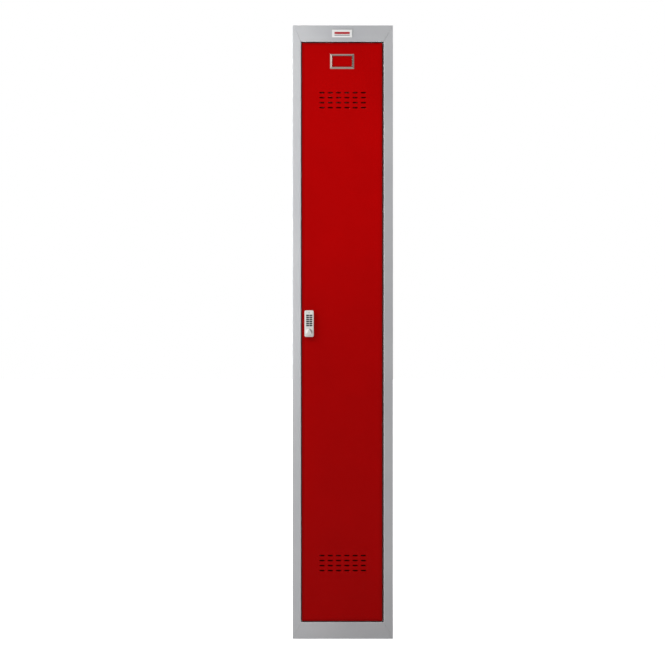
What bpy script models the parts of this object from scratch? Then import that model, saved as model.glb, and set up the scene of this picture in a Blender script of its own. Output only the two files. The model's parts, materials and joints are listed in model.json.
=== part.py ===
"""Tall single-door steel locker with an electronic keypad lock, as separate pieces.

Units are metres and +Z is up. Places are given as x from the middle of the locker, y back from
the front face of its frame, and z up from the floor. The object stands at rest: door shut, lock open.
"""

import math

import bmesh
import bpy
from mathutils import Matrix, Vector

# Carcass
LOCKER_WIDTH = 0.300
LOCKER_HEIGHT = 1.830
CARCASS_DEPTH = 0.450
CARCASS_SHEET = 0.0008
BEND_RADIUS = 0.0015
LATCH_STILE = 0.0257
HINGE_STILE = 0.0275
TOP_RAIL_HEIGHT = 0.0483
KICK_HEIGHT = 0.050
REBATE_DEPTH = 0.023
STOP_LIP = 0.012
REAR_FLANGE = 0.015
FLOOR_FLANGE = 0.018
PANEL_FLANGE = 0.020
FIT_GAP = 0.0003
MITRE_GAP = 0.0004

# Wall fixing holes in the back panel
WALL_HOLE_RADIUS = 0.004
WALL_HOLE_SPACING = 0.200
WALL_HOLE_FROM_FLOOR = 0.300
WALL_HOLE_FROM_TOP = 0.180

# Shelf and coat rail
SHELF_HEIGHT = 1.500
SHELF_SETBACK = 0.035
COAT_RAIL_RADIUS = 0.008
COAT_RAIL_WALL = 0.0012
COAT_RAIL_DROP = 0.050
SOCKET_DEPTH = 0.012
SOCKET_BASE = 0.002
SOCKET_COLLAR = 0.003
SOCKET_FLANGE = 0.004

# Badge on the top rail
BADGE_WIDTH = 0.060
BADGE_HEIGHT = 0.023
BADGE_THICKNESS = 0.0012

# Door and its gaps to the frame
DOOR_SHEET = 0.001
DOOR_DEPTH = 0.020
DOOR_LIP = 0.012
LATCH_GAP = 0.0025
HINGE_GAP = 0.0042
TOP_GAP = 0.0037
BOTTOM_GAP = 0.0030
BUFFER_RADIUS = 0.004
BUFFER_MARGIN = 0.150

# Vent slots
VENT_COLUMNS = 6
VENT_ROWS = 4
VENT_PITCH_ACROSS = 0.0247
VENT_PITCH_UP = 0.0149
SLOT_LENGTH = 0.015
SLOT_HEIGHT = 0.0043
VENT_FROM_TOP = 0.1710
VENT_FROM_BOTTOM = 0.1732
VENT_ASIDE = 0.0018

# Stiffener behind the door
STIFFENER_CROWN = 0.024
STIFFENER_FLANGE = 0.012
STIFFENER_DEPTH = 0.014
STIFFENER_CLEAR_OF_VENTS = 0.030

# Pivot hinges
PIVOT_INSET = 0.007
PIVOT_DEPTH = 0.0062
PIN_RADIUS = 0.003
PIN_HEAD = 0.0015
PIN_HEAD_THICKNESS = 0.002
PIN_REACH = 0.010
BUSH_WALL = 0.0012
BUSH_COLLAR = 0.0008
BUSH_LENGTH = 0.008
RUNNING_CLEARANCE = 0.0001

# Card holder
HOLDER_WIDTH = 0.072
HOLDER_HEIGHT = 0.045
HOLDER_BAR = 0.0065
HOLDER_THICKNESS = 0.003
HOLDER_EDGE = 0.0016
HOLDER_FROM_TOP = 0.0556
CARD_SLOT = 0.0009
CARD_OVERLAP = 0.0025
TAB_WIDTH = 0.010
TAB_SHEET = 0.0008
TAB_FOOT = 0.005

# Lock: what fills the housing from the door outwards
LOCK_FROM_EDGE = 0.0082
KNOB_ABOVE_FLOOR = 0.9154
PLATE_THICKNESS = 0.0017
CELL_RADIUS = 0.00525
CELL_LENGTH = 0.0445
CELL_NUB_RADIUS = 0.0019
CELL_NUB = 0.001
CELL_GAP = 0.0007
CELL_SIDE_ROOM = 0.00125
CELL_END_ROOM = 0.0006
CELL_TOP_ROOM = 0.0029
BOARD_THICKNESS = 0.0014
MAT_THICKNESS = 0.0011
HOUSING_WALL = 0.0016
HOUSING_CORNER = 0.0045
HOUSING_EDGE = 0.0032

# Keys, row by row from the top
KEY_NAMES = (("1", "2"), ("3", "4"), ("5", "6"), ("7", "8"), ("9", "0"), ("clear", "enter"))
KEY_PITCH_ACROSS = 0.0096
KEY_PITCH_UP = 0.0060
KEY_WIDTH = 0.0078
KEY_HEIGHT = 0.0035
KEY_FLANGE = 0.0006
KEY_FLANGE_THICKNESS = 0.0009
KEY_PROUD = 0.0012
KEY_EDGE = 0.0006
KEY_TRAVEL = 0.001
KEYPAD_RISE = 0.0343
KEYPAD_ASIDE = 0.0004
STATUS_LIGHT_RADIUS = 0.0014

# Knob, spindle and cam
KNOB_RISE = 0.0145
KNOB_RADIUS = 0.010
KNOB_DEPTH = 0.010
KNOB_BASE = 0.003
KNOB_RIDGE = 0.002
KNOB_FALL = 0.0053
KNOB_EDGE = 0.0008
SPINDLE_RADIUS = 0.004
SPINDLE_GRIP = 0.0032
CAM_WIDTH = 0.014
CAM_THICKNESS = 0.002
CAM_HOLD = 0.007
CAM_CLEARANCE = 0.001
CAM_SQUARE = 0.0054
CAM_SCREW_RADIUS = 0.002
CAM_SCREW_LENGTH = 0.008
SCREW_HEAD_RADIUS = 0.0042
SCREW_HEAD = 0.0025
STRIKE_THICKNESS = 0.0012
STRIKE_HEIGHT = 0.050
BARREL_RADIUS = 0.008
BARREL_FLANGE = 0.002
NUT_RADIUS = 0.0125
NUT_THICKNESS = 0.006
FIXING_SCREW_RADIUS = 0.002
FIXING_SCREW_RISE = 0.050

# Blocking solenoid above the spindle
SOLENOID_HEIGHT = 0.008
SOLENOID_WIDTH = 0.012
SOLENOID_DEPTH = 0.008
PLUNGER_RADIUS = 0.0015
PLUNGER_LENGTH = 0.008
PLUNGER_SHOWN = 0.0026
PLUNGER_TRAVEL = 0.002
NOTCH_CLEARANCE = 0.0005

# Facets of round shapes, and the least angle that counts as a fold
ROUND_STEPS = 28
SMALL_ROUND_STEPS = 16
SLOT_SIDES = 12
BEND_STEPS = 4
FOLD_ANGLE = math.radians(40)

# Edges of the door opening and of the space inside
OPENING_LEFT = -LOCKER_WIDTH / 2 + LATCH_STILE
OPENING_RIGHT = LOCKER_WIDTH / 2 - HINGE_STILE
OPENING_BOTTOM = KICK_HEIGHT
OPENING_TOP = LOCKER_HEIGHT - TOP_RAIL_HEIGHT
INNER_HALF_WIDTH = LOCKER_WIDTH / 2 - CARCASS_SHEET - FIT_GAP
STOP_BACK = REBATE_DEPTH + CARCASS_SHEET
BACK_PANEL_REAR = CARCASS_DEPTH - CARCASS_SHEET - FIT_GAP
BACK_PANEL_FRONT = BACK_PANEL_REAR - CARCASS_SHEET
INNER_BACK = BACK_PANEL_FRONT - FIT_GAP
FLOOR_HEIGHT = OPENING_BOTTOM + STOP_LIP

# Outline of the door and its pivot
DOOR_LEFT = OPENING_LEFT + LATCH_GAP
DOOR_RIGHT = OPENING_RIGHT - HINGE_GAP
DOOR_BOTTOM = OPENING_BOTTOM + BOTTOM_GAP
DOOR_TOP = OPENING_TOP - TOP_GAP
DOOR_CENTRE = (DOOR_LEFT + DOOR_RIGHT) / 2
PIVOT_X = DOOR_RIGHT - PIVOT_INSET

# Heights inside the lock, measured out from the face of the door
PLATE_FRONT = FIT_GAP + PLATE_THICKNESS
CELL_CENTRE = PLATE_FRONT + FIT_GAP + CELL_RADIUS
BOARD_BACK = CELL_CENTRE + CELL_RADIUS + FIT_GAP
MAT_BACK = BOARD_BACK + BOARD_THICKNESS + FIT_GAP
MAT_FRONT = MAT_BACK + MAT_THICKNESS
KEY_BACK = MAT_FRONT + FIT_GAP + KEY_TRAVEL
HOUSING_INNER = KEY_BACK + KEY_FLANGE_THICKNESS + FIT_GAP
HOUSING_FRONT = HOUSING_INNER + HOUSING_WALL
KNOB_BACK = HOUSING_FRONT + FIT_GAP
KNOB_FRONT = KNOB_BACK + KNOB_DEPTH

# Places in the lock, measured up from the axis of the knob
PLUNGER_TIP = SPINDLE_RADIUS + FIT_GAP
SOLENOID_BOTTOM = PLUNGER_TIP + PLUNGER_SHOWN
SOLENOID_TOP = SOLENOID_BOTTOM + SOLENOID_HEIGHT
SOLENOID_BACK = PLATE_FRONT + FIT_GAP + BARREL_FLANGE + FIT_GAP
CELL_BOTTOM = SOLENOID_TOP + CELL_END_ROOM
CELL_TOP = CELL_BOTTOM + CELL_LENGTH
LOCK_TOP = CELL_TOP + CELL_TOP_ROOM + HOUSING_WALL
LOCK_BOTTOM = -KNOB_RISE
LOCK_WIDTH = 4 * CELL_RADIUS + CELL_GAP + 2 * (CELL_SIDE_ROOM + HOUSING_WALL)
LOCK_X = DOOR_LEFT + LOCK_FROM_EDGE + LOCK_WIDTH / 2
KEY_ROWS = len(KEY_NAMES)
KEYPAD_HALF_HEIGHT = (KEY_ROWS - 1) * KEY_PITCH_UP / 2 + KEY_HEIGHT / 2
STATUS_LIGHT_RISE = (KEYPAD_RISE + KEYPAD_HALF_HEIGHT + LOCK_TOP) / 2

# Depth of the cam behind the strike plate, and its reach to the side
STRIKE_FRONT = STOP_BACK + FIT_GAP
CAM_FRONT = STRIKE_FRONT + STRIKE_THICKNESS + CAM_CLEARANCE
CAM_REACH = LOCK_X - OPENING_LEFT - STOP_LIP + CAM_HOLD

# The middle of the whole depth, knob included, lies at y = 0
FRONT_FACE = -(CARCASS_DEPTH - KNOB_FRONT) / 2


def new_collection(name):
    collection = bpy.data.collections.new(name)
    bpy.context.scene.collection.children.link(collection)
    return collection


for leftover in list(bpy.data.objects):
    bpy.data.objects.remove(leftover)
PARTS = new_collection("personal_locker")
CUTTERS = new_collection("cutters")


def new_material(name, colour, roughness, metallic=0.0):
    material = bpy.data.materials.new(name)
    material.use_nodes = True
    shader = material.node_tree.nodes["Principled BSDF"]
    shader.inputs["Base Color"].default_value = (*colour, 1.0)
    shader.inputs["Roughness"].default_value = roughness
    shader.inputs["Metallic"].default_value = metallic
    return material


GREY_PAINT = new_material("grey_paint", (0.60, 0.60, 0.62), 0.45)
RED_PAINT = new_material("red_paint", (0.48, 0.004, 0.005), 0.45)
ZINC = new_material("zinc_plated_steel", (0.62, 0.63, 0.64), 0.35, 1.0)
NICKEL = new_material("nickel_plate", (0.72, 0.70, 0.66), 0.20, 1.0)
SILVER_CASE = new_material("silver_case", (0.68, 0.69, 0.70), 0.30, 0.6)
DARK_KEY = new_material("dark_key", (0.03, 0.03, 0.035), 0.50)
NYLON = new_material("nylon", (0.02, 0.02, 0.022), 0.50)
RUBBER = new_material("rubber", (0.02, 0.02, 0.02), 0.80)
WHITE_PLATE = new_material("white_plate", (0.85, 0.85, 0.85), 0.30)
BOARD_GREEN = new_material("board_green", (0.02, 0.16, 0.06), 0.45)
CELL_JACKET = new_material("cell_jacket", (0.05, 0.05, 0.06), 0.35, 0.3)
CLEAR_LENS = new_material("clear_lens", (0.60, 0.75, 0.60), 0.10)


def at(x, y, z):
    """World place for a spot given from the middle, the front face and the floor."""
    return Vector((x, FRONT_FACE + y, z))


def lock_at(x, out, up):
    """World place for a spot given from the axis of the knob and out from the face of the door."""
    return at(LOCK_X + x, -out, KNOB_ABOVE_FLOOR + up)


def mesh_object(name, bm, material):
    """Object from a bmesh. Without a material it is a hidden helper for a Boolean."""
    mesh = bpy.data.meshes.new(name)
    bm.to_mesh(mesh)
    bm.free()
    obj = bpy.data.objects.new(name, mesh)
    if material is None:
        CUTTERS.objects.link(obj)
        obj.hide_render = True
        obj.display_type = "WIRE"
    else:
        PARTS.objects.link(obj)
        mesh.materials.append(material)
    return obj


def box_mesh(size):
    bm = bmesh.new()
    bmesh.ops.create_cube(bm, size=1.0)
    bmesh.ops.scale(bm, vec=size, verts=bm.verts)
    bm.normal_update()
    return bm


def box(name, low, high, material=None):
    """Block between two opposite corners."""
    low, high = at(*low), at(*high)
    obj = mesh_object(name, box_mesh(high - low), material)
    obj.location = (low + high) / 2
    return obj


def lock_box(name, half_width, back, front, low, high, material=None):
    """Block centred on the lock, from back to front and from low to high."""
    return box(
        name,
        (LOCK_X - half_width, -front, KNOB_ABOVE_FLOOR + low),
        (LOCK_X + half_width, -back, KNOB_ABOVE_FLOOR + high),
        material,
    )


def rod(name, radius, start, end, material=None, sides=ROUND_STEPS):
    """Solid cylinder between two world places."""
    bm = bmesh.new()
    bmesh.ops.create_cone(
        bm,
        cap_ends=True,
        segments=sides,
        radius1=radius,
        radius2=radius,
        depth=(end - start).length,
    )
    obj = mesh_object(name, bm, material)
    obj.location = (start + end) / 2
    obj.rotation_euler = (end - start).to_track_quat("Z", "Y").to_euler()
    return obj


def turned(name, outline, place, turn, material, ring=False, steps=ROUND_STEPS):
    """Shape turned from (radius, height) points that run down its outside. A ring's outline closes."""
    bm = bmesh.new()
    spots = [bm.verts.new((radius, 0.0, height)) for radius, height in outline]
    for first, second in zip(spots, spots[1:]):
        bm.edges.new((first, second))
    if ring:
        bm.edges.new((spots[-1], spots[0]))
    obj = mesh_object(name, bm, material)
    obj.location = place
    obj.rotation_euler = turn
    screw = obj.modifiers.new("turn", "SCREW")
    screw.axis = "Z"
    screw.steps = steps
    screw.render_steps = steps
    screw.use_merge_vertices = True
    screw.merge_threshold = 0.00001
    return obj


def add_bends(obj, thickness, outwards):
    """Rounds the folds of an open surface and gives it the thickness of the sheet."""
    bend = obj.modifiers.new("bends", "BEVEL")
    bend.width = BEND_RADIUS
    bend.segments = BEND_STEPS
    bend.limit_method = "ANGLE"
    bend.angle_limit = FOLD_ANGLE
    sheet = obj.modifiers.new("sheet", "SOLIDIFY")
    sheet.thickness = thickness
    sheet.offset = 1.0 if outwards else -1.0
    sheet.use_even_offset = True


def profile_spot(along, pair, distance):
    first, second = pair
    if along == "X":
        return Vector((distance, first, second))
    if along == "Y":
        return Vector((first, distance, second))
    return Vector((first, second, distance))


def folded(name, along, corners, start, end, thickness, material):
    """Sheet folded along a line of corners and run along an axis. The metal lies right of the line."""
    bm = bmesh.new()
    spots = [bm.verts.new(profile_spot(along, corner, start)) for corner in corners]
    edges = [bm.edges.new(pair) for pair in zip(spots, spots[1:])]
    grown = bmesh.ops.extrude_edge_only(bm, edges=edges)["geom"]
    moved = [item for item in grown if isinstance(item, bmesh.types.BMVert)]
    bmesh.ops.translate(bm, verts=moved, vec=profile_spot(along, (0, 0), end - start))
    bmesh.ops.recalc_face_normals(bm, faces=bm.faces)
    step = [second - first for first, second in zip(corners[0], corners[1])]
    right = profile_spot(along, (step[1], -step[0]), 0)
    if edges[0].link_faces[0].normal.dot(right) < 0:
        bmesh.ops.reverse_faces(bm, faces=bm.faces)
    obj = mesh_object(name, bm, material)
    obj.location = at(0, 0, 0)
    add_bends(obj, thickness, outwards=True)
    return obj


def pan(name, low, high, open_side, thickness, material, lip=0.0):
    """Sheet folded into a tray that is open on one side, with a lip turned in around the opening."""
    low, high = at(*low), at(*high)
    bm = box_mesh(high - low)
    opening = max(bm.faces, key=lambda face: face.normal.dot(open_side))
    if lip:
        bmesh.ops.inset_region(bm, faces=[opening], thickness=lip, use_even_offset=True)
    bmesh.ops.delete(bm, geom=[opening], context="FACES_ONLY")
    obj = mesh_object(name, bm, material)
    obj.location = (low + high) / 2
    add_bends(obj, thickness, outwards=False)
    return obj


def prism(name, outline, front, back):
    """Cutter with a flat (x, z) outline, run from front to back."""
    bm = bmesh.new()
    face = bm.faces.new([bm.verts.new((x, front, z)) for x, z in outline])
    grown = bmesh.ops.extrude_face_region(bm, geom=[face])["geom"]
    moved = [item for item in grown if isinstance(item, bmesh.types.BMVert)]
    bmesh.ops.translate(bm, verts=moved, vec=(0, back - front, 0))
    bmesh.ops.recalc_face_normals(bm, faces=bm.faces)
    obj = mesh_object(name, bm, None)
    obj.location = at(0, 0, 0)
    return obj


def facet(name, size, first, second, third):
    """Cutter that takes off all that lies in front of the plane through three world places."""
    outwards = (second - first).cross(third - first).normalized()
    if outwards.dot(BACKWARDS) > 0:
        outwards.negate()
    obj = mesh_object(name, box_mesh((size, size, size)), None)
    obj.location = first + outwards * size / 2
    obj.rotation_euler = outwards.to_track_quat("Z", "Y").to_euler()
    return obj


def add_obround(bm, along, length, width, depth, place, sides):
    """Adds a bar with round ends to a bmesh, through the sheet from front to back."""
    lie_back = Matrix.Rotation(math.pi / 2, 4, "X")
    half_step = Matrix.Rotation(math.pi / sides, 4, "Z")
    spots = bmesh.ops.create_cone(
        bm,
        cap_ends=True,
        segments=sides,
        radius1=width / 2,
        radius2=width / 2,
        depth=depth,
        matrix=lie_back @ half_step,
    )["verts"]
    for spot in spots:
        spot.co += along * math.copysign((length - width) / 2, spot.co.dot(along))
    bmesh.ops.translate(bm, verts=spots, vec=place)


def follow(piece, carrier):
    """Lets a piece move with another object and leaves it where it is."""
    bpy.context.view_layer.update()
    piece.parent = carrier
    piece.matrix_parent_inverse = carrier.matrix_world.inverted()


def combine(piece, helper, operation):
    boolean = piece.modifiers.new(helper.name, "BOOLEAN")
    boolean.operation = operation
    boolean.solver = "EXACT"
    boolean.object = helper
    follow(helper, piece)


def cut(piece, *helpers):
    for helper in helpers:
        combine(piece, helper, "DIFFERENCE")


def join(piece, *helpers):
    for helper in helpers:
        combine(piece, helper, "UNION")


UP = Vector((0, 0, 1))
ACROSS = Vector((1, 0, 0))
BACKWARDS = Vector((0, 1, 0))
UPRIGHT = (0, 0, 0)
FACING_OUT = (math.pi / 2, 0, 0)


def mitre_line(side, end):
    """Corner line of the frame at a side (-1 latch, 1 hinge) and an end (-1 floor, 1 top)."""
    opening_x = OPENING_LEFT if side < 0 else OPENING_RIGHT
    opening_z = OPENING_BOTTOM if end < 0 else OPENING_TOP
    outer = (side * INNER_HALF_WIDTH, 0.0 if end < 0 else LOCKER_HEIGHT)
    corner = (opening_x, opening_z)
    lip = (opening_x - side * STOP_LIP, opening_z - end * STOP_LIP)
    return outer, corner, lip


def stile_mitre(name, side, end):
    """Cutter that takes off the rail's share of a frame corner."""
    outer, corner, lip = mitre_line(side, end)
    inwards = lip[0] - side * STOP_LIP
    beyond = outer[1] + end * STOP_LIP
    outline = [outer, corner, lip, (inwards, lip[1]), (inwards, beyond), (outer[0], beyond)]
    return prism(name, outline, -STOP_LIP, STOP_BACK + STOP_LIP)


def rail_mitre(name, side, end):
    """Cutter that takes off the stile's share of a frame corner and leaves the joint's gap."""
    outer, corner, lip = mitre_line(side, end)
    inwards = lip[1] - end * STOP_LIP
    beyond = outer[0] + side * STOP_LIP
    past = outer[1] + end * STOP_LIP
    outline = [(outer[0], past), outer, corner, lip, (lip[0], inwards), (beyond, inwards), (beyond, past)]
    shifted = [(x - side * MITRE_GAP, z) for x, z in outline]
    return prism(name, shifted, -STOP_LIP, STOP_BACK + STOP_LIP)


def side_panel(name, side):
    """Side wall, stile, rebate, door stop and rear flange, folded from one sheet."""
    opening = OPENING_LEFT if side < 0 else OPENING_RIGHT
    outer = side * LOCKER_WIDTH / 2
    corners = [
        (opening - side * STOP_LIP, REBATE_DEPTH),
        (opening, REBATE_DEPTH),
        (opening, 0.0),
        (outer, 0.0),
        (outer, CARCASS_DEPTH),
        (outer - side * REAR_FLANGE, CARCASS_DEPTH),
    ]
    if side > 0:
        corners.reverse()
    panel = folded(name, "Z", corners, 0.0, LOCKER_HEIGHT, CARCASS_SHEET, GREY_PAINT)
    cut(panel, stile_mitre(name + "_foot_mitre", side, -1), stile_mitre(name + "_head_mitre", side, 1))
    return panel


def frame_rail(name, corners, end):
    """Rail folded from one sheet and mitred into both stiles."""
    rail = folded(name, "X", corners, -INNER_HALF_WIDTH, INNER_HALF_WIDTH, CARCASS_SHEET, GREY_PAINT)
    cut(rail, rail_mitre(name + "_latch_mitre", -1, end), rail_mitre(name + "_hinge_mitre", 1, end))
    return rail


# Carcass sheets
left_side_panel = side_panel("left_side_panel", -1)
right_side_panel = side_panel("right_side_panel", 1)
top_rail = frame_rail(
    "top_rail",
    [
        (REBATE_DEPTH, OPENING_TOP - STOP_LIP),
        (REBATE_DEPTH, OPENING_TOP),
        (0.0, OPENING_TOP),
        (0.0, LOCKER_HEIGHT),
    ],
    1,
)
kick_plate = frame_rail(
    "kick_plate",
    [
        (FLOOR_FLANGE, 0.0),
        (0.0, 0.0),
        (0.0, OPENING_BOTTOM),
        (REBATE_DEPTH, OPENING_BOTTOM),
        (REBATE_DEPTH, FLOOR_HEIGHT),
    ],
    -1,
)
back_panel = box(
    "back_panel",
    (-INNER_HALF_WIDTH, BACK_PANEL_FRONT, 0.0),
    (INNER_HALF_WIDTH, BACK_PANEL_REAR, LOCKER_HEIGHT),
    GREY_PAINT,
)
wall_hole_heights = (("low", WALL_HOLE_FROM_FLOOR), ("high", LOCKER_HEIGHT - WALL_HOLE_FROM_TOP))
for height_name, height in wall_hole_heights:
    for side_name, side in (("left", -1), ("right", 1)):
        middle = at(side * WALL_HOLE_SPACING / 2, BACK_PANEL_FRONT, height)
        reach = BACKWARDS * 2 * WALL_HOLE_RADIUS
        hole_name = f"wall_hole_{height_name}_{side_name}"
        hole = rod(hole_name, WALL_HOLE_RADIUS, middle - reach, middle + reach, sides=SMALL_ROUND_STEPS)
        cut(back_panel, hole)
roof_panel = pan(
    "roof_panel",
    (-INNER_HALF_WIDTH, CARCASS_SHEET + FIT_GAP, LOCKER_HEIGHT - PANEL_FLANGE),
    (INNER_HALF_WIDTH, INNER_BACK, LOCKER_HEIGHT),
    -UP,
    CARCASS_SHEET,
    GREY_PAINT,
)
base_tray = folded(
    "base_tray",
    "Y",
    [
        (FLOOR_FLANGE - INNER_HALF_WIDTH, 0.0),
        (-INNER_HALF_WIDTH, 0.0),
        (-INNER_HALF_WIDTH, FLOOR_HEIGHT),
        (INNER_HALF_WIDTH, FLOOR_HEIGHT),
        (INNER_HALF_WIDTH, 0.0),
        (INNER_HALF_WIDTH - FLOOR_FLANGE, 0.0),
    ],
    STOP_BACK + FIT_GAP,
    INNER_BACK,
    CARCASS_SHEET,
    GREY_PAINT,
)

# Hat shelf, and the coat rail under it in its two sockets
hat_shelf = pan(
    "hat_shelf",
    (-INNER_HALF_WIDTH, SHELF_SETBACK, SHELF_HEIGHT - PANEL_FLANGE),
    (INNER_HALF_WIDTH, INNER_BACK, SHELF_HEIGHT),
    -UP,
    CARCASS_SHEET,
    GREY_PAINT,
)
coat_rail_y = (SHELF_SETBACK + INNER_BACK) / 2
coat_rail_z = SHELF_HEIGHT - COAT_RAIL_DROP
coat_rail_end = INNER_HALF_WIDTH - SOCKET_BASE - FIT_GAP
coat_rail_bore = COAT_RAIL_RADIUS - COAT_RAIL_WALL
coat_rail = turned(
    "coat_rail",
    [
        (COAT_RAIL_RADIUS, coat_rail_end),
        (COAT_RAIL_RADIUS, -coat_rail_end),
        (coat_rail_bore, -coat_rail_end),
        (coat_rail_bore, coat_rail_end),
    ],
    at(0, coat_rail_y, coat_rail_z),
    (0, math.pi / 2, 0),
    ZINC,
    ring=True,
)
socket_bore = COAT_RAIL_RADIUS + FIT_GAP
for side_name, side in (("left", -1), ("right", 1)):
    turned(
        f"rail_socket_{side_name}",
        [
            (0.0, SOCKET_BASE),
            (socket_bore, SOCKET_BASE),
            (socket_bore, SOCKET_DEPTH),
            (socket_bore + SOCKET_COLLAR, SOCKET_DEPTH),
            (socket_bore + SOCKET_COLLAR, SOCKET_BASE),
            (socket_bore + SOCKET_COLLAR + SOCKET_FLANGE, SOCKET_BASE),
            (socket_bore + SOCKET_COLLAR + SOCKET_FLANGE, 0.0),
            (0.0, 0.0),
        ],
        at(side * INNER_HALF_WIDTH, coat_rail_y, coat_rail_z),
        (0, -side * math.pi / 2, 0),
        NYLON,
    )

# Badge, door buffers and strike plate
badge_z = OPENING_TOP + TOP_RAIL_HEIGHT / 2
badge_plate = box(
    "badge_plate",
    (DOOR_CENTRE - BADGE_WIDTH / 2, -FIT_GAP - BADGE_THICKNESS, badge_z - BADGE_HEIGHT / 2),
    (DOOR_CENTRE + BADGE_WIDTH / 2, -FIT_GAP, badge_z + BADGE_HEIGHT / 2),
    WHITE_PLATE,
)
buffer_x = OPENING_LEFT + STOP_LIP / 2
buffer_heights = (("lower", DOOR_BOTTOM + BUFFER_MARGIN), ("upper", DOOR_TOP - BUFFER_MARGIN))
for buffer_name, buffer_z in buffer_heights:
    rod(
        f"door_buffer_{buffer_name}",
        BUFFER_RADIUS,
        at(buffer_x, DOOR_DEPTH + FIT_GAP, buffer_z),
        at(buffer_x, REBATE_DEPTH - FIT_GAP, buffer_z),
        RUBBER,
        SMALL_ROUND_STEPS,
    )
strike_plate = box(
    "strike_plate",
    (OPENING_LEFT, STRIKE_FRONT, KNOB_ABOVE_FLOOR - STRIKE_HEIGHT / 2),
    (OPENING_LEFT + STOP_LIP, STRIKE_FRONT + STRIKE_THICKNESS, KNOB_ABOVE_FLOOR + STRIKE_HEIGHT / 2),
    ZINC,
)

# Door pan with its vents
door_panel = pan(
    "door_panel",
    (DOOR_LEFT, 0.0, DOOR_BOTTOM),
    (DOOR_RIGHT, DOOR_DEPTH, DOOR_TOP),
    BACKWARDS,
    DOOR_SHEET,
    RED_PAINT,
    lip=DOOR_LIP,
)
vents_x = DOOR_CENTRE + VENT_ASIDE
vents_low = DOOR_BOTTOM + VENT_FROM_BOTTOM
vents_high = DOOR_TOP - VENT_FROM_TOP
vents_half_height = (VENT_ROWS - 1) * VENT_PITCH_UP / 2 + SLOT_HEIGHT / 2
slots = bmesh.new()
for vents_z in (vents_low, vents_high):
    for row in range(VENT_ROWS):
        for column in range(VENT_COLUMNS):
            slot_x = vents_x + (column - (VENT_COLUMNS - 1) / 2) * VENT_PITCH_ACROSS
            slot_z = vents_z + (row - (VENT_ROWS - 1) / 2) * VENT_PITCH_UP
            slot_place = (slot_x, 0.0, slot_z)
            add_obround(slots, ACROSS, SLOT_LENGTH, SLOT_HEIGHT, 4 * DOOR_SHEET, slot_place, SLOT_SIDES)
vent_slots = mesh_object("vent_slots", slots, None)
vent_slots.location = at(0, 0, 0)
cut(door_panel, vent_slots)

# Stiffener between the two groups of vents
crown_half = STIFFENER_CROWN / 2
foot_half = crown_half + STIFFENER_FLANGE
stiffener_foot = DOOR_SHEET + FIT_GAP + DOOR_SHEET
door_stiffener = folded(
    "door_stiffener",
    "Z",
    [
        (DOOR_CENTRE - foot_half, stiffener_foot),
        (DOOR_CENTRE - crown_half, stiffener_foot),
        (DOOR_CENTRE - crown_half, stiffener_foot + STIFFENER_DEPTH),
        (DOOR_CENTRE + crown_half, stiffener_foot + STIFFENER_DEPTH),
        (DOOR_CENTRE + crown_half, stiffener_foot),
        (DOOR_CENTRE + foot_half, stiffener_foot),
    ],
    vents_low + vents_half_height + STIFFENER_CLEAR_OF_VENTS,
    vents_high - vents_half_height - STIFFENER_CLEAR_OF_VENTS,
    DOOR_SHEET,
    RED_PAINT,
)

# Pivot pins in the rails, and the bushes that turn on them in the door
pin_head_low = CARCASS_SHEET + FIT_GAP
pin_head_high = pin_head_low + PIN_HEAD_THICKNESS
pin_head_radius = PIN_RADIUS + PIN_HEAD
top_pin_tip = -TOP_GAP - PIN_REACH
bottom_pin_tip = BOTTOM_GAP + PIN_REACH
hinge_pin_top = turned(
    "hinge_pin_top",
    [
        (0.0, pin_head_high),
        (pin_head_radius, pin_head_high),
        (pin_head_radius, pin_head_low),
        (PIN_RADIUS, pin_head_low),
        (PIN_RADIUS, top_pin_tip),
        (0.0, top_pin_tip),
    ],
    at(PIVOT_X, PIVOT_DEPTH, OPENING_TOP),
    UPRIGHT,
    ZINC,
)
hinge_pin_bottom = turned(
    "hinge_pin_bottom",
    [
        (0.0, bottom_pin_tip),
        (PIN_RADIUS, bottom_pin_tip),
        (PIN_RADIUS, -pin_head_low),
        (pin_head_radius, -pin_head_low),
        (pin_head_radius, -pin_head_high),
        (0.0, -pin_head_high),
    ],
    at(PIVOT_X, PIVOT_DEPTH, OPENING_BOTTOM),
    UPRIGHT,
    ZINC,
)
bush_bore = PIN_RADIUS + RUNNING_CLEARANCE
bush_radius = bush_bore + BUSH_WALL
bush_collar_radius = bush_radius + BUSH_COLLAR
top_collar = TOP_GAP - FIT_GAP
bottom_collar = BOTTOM_GAP - FIT_GAP
hinge_bush_top = turned(
    "hinge_bush_top",
    [
        (bush_collar_radius, top_collar),
        (bush_collar_radius, FIT_GAP),
        (bush_radius, FIT_GAP),
        (bush_radius, -BUSH_LENGTH),
        (bush_bore, -BUSH_LENGTH),
        (bush_bore, top_collar),
    ],
    at(PIVOT_X, PIVOT_DEPTH, DOOR_TOP),
    UPRIGHT,
    NYLON,
    ring=True,
)
hinge_bush_bottom = turned(
    "hinge_bush_bottom",
    [
        (bush_radius, BUSH_LENGTH),
        (bush_radius, -FIT_GAP),
        (bush_collar_radius, -FIT_GAP),
        (bush_collar_radius, -bottom_collar),
        (bush_bore, -bottom_collar),
        (bush_bore, BUSH_LENGTH),
    ],
    at(PIVOT_X, PIVOT_DEPTH, DOOR_BOTTOM),
    UPRIGHT,
    NYLON,
    ring=True,
)
hinge_ends = ((top_rail, OPENING_TOP, DOOR_TOP), (kick_plate, OPENING_BOTTOM, DOOR_BOTTOM))
pin_reach = UP * 2 * CARCASS_SHEET
bush_reach = UP * 2 * DOOR_SHEET
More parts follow.
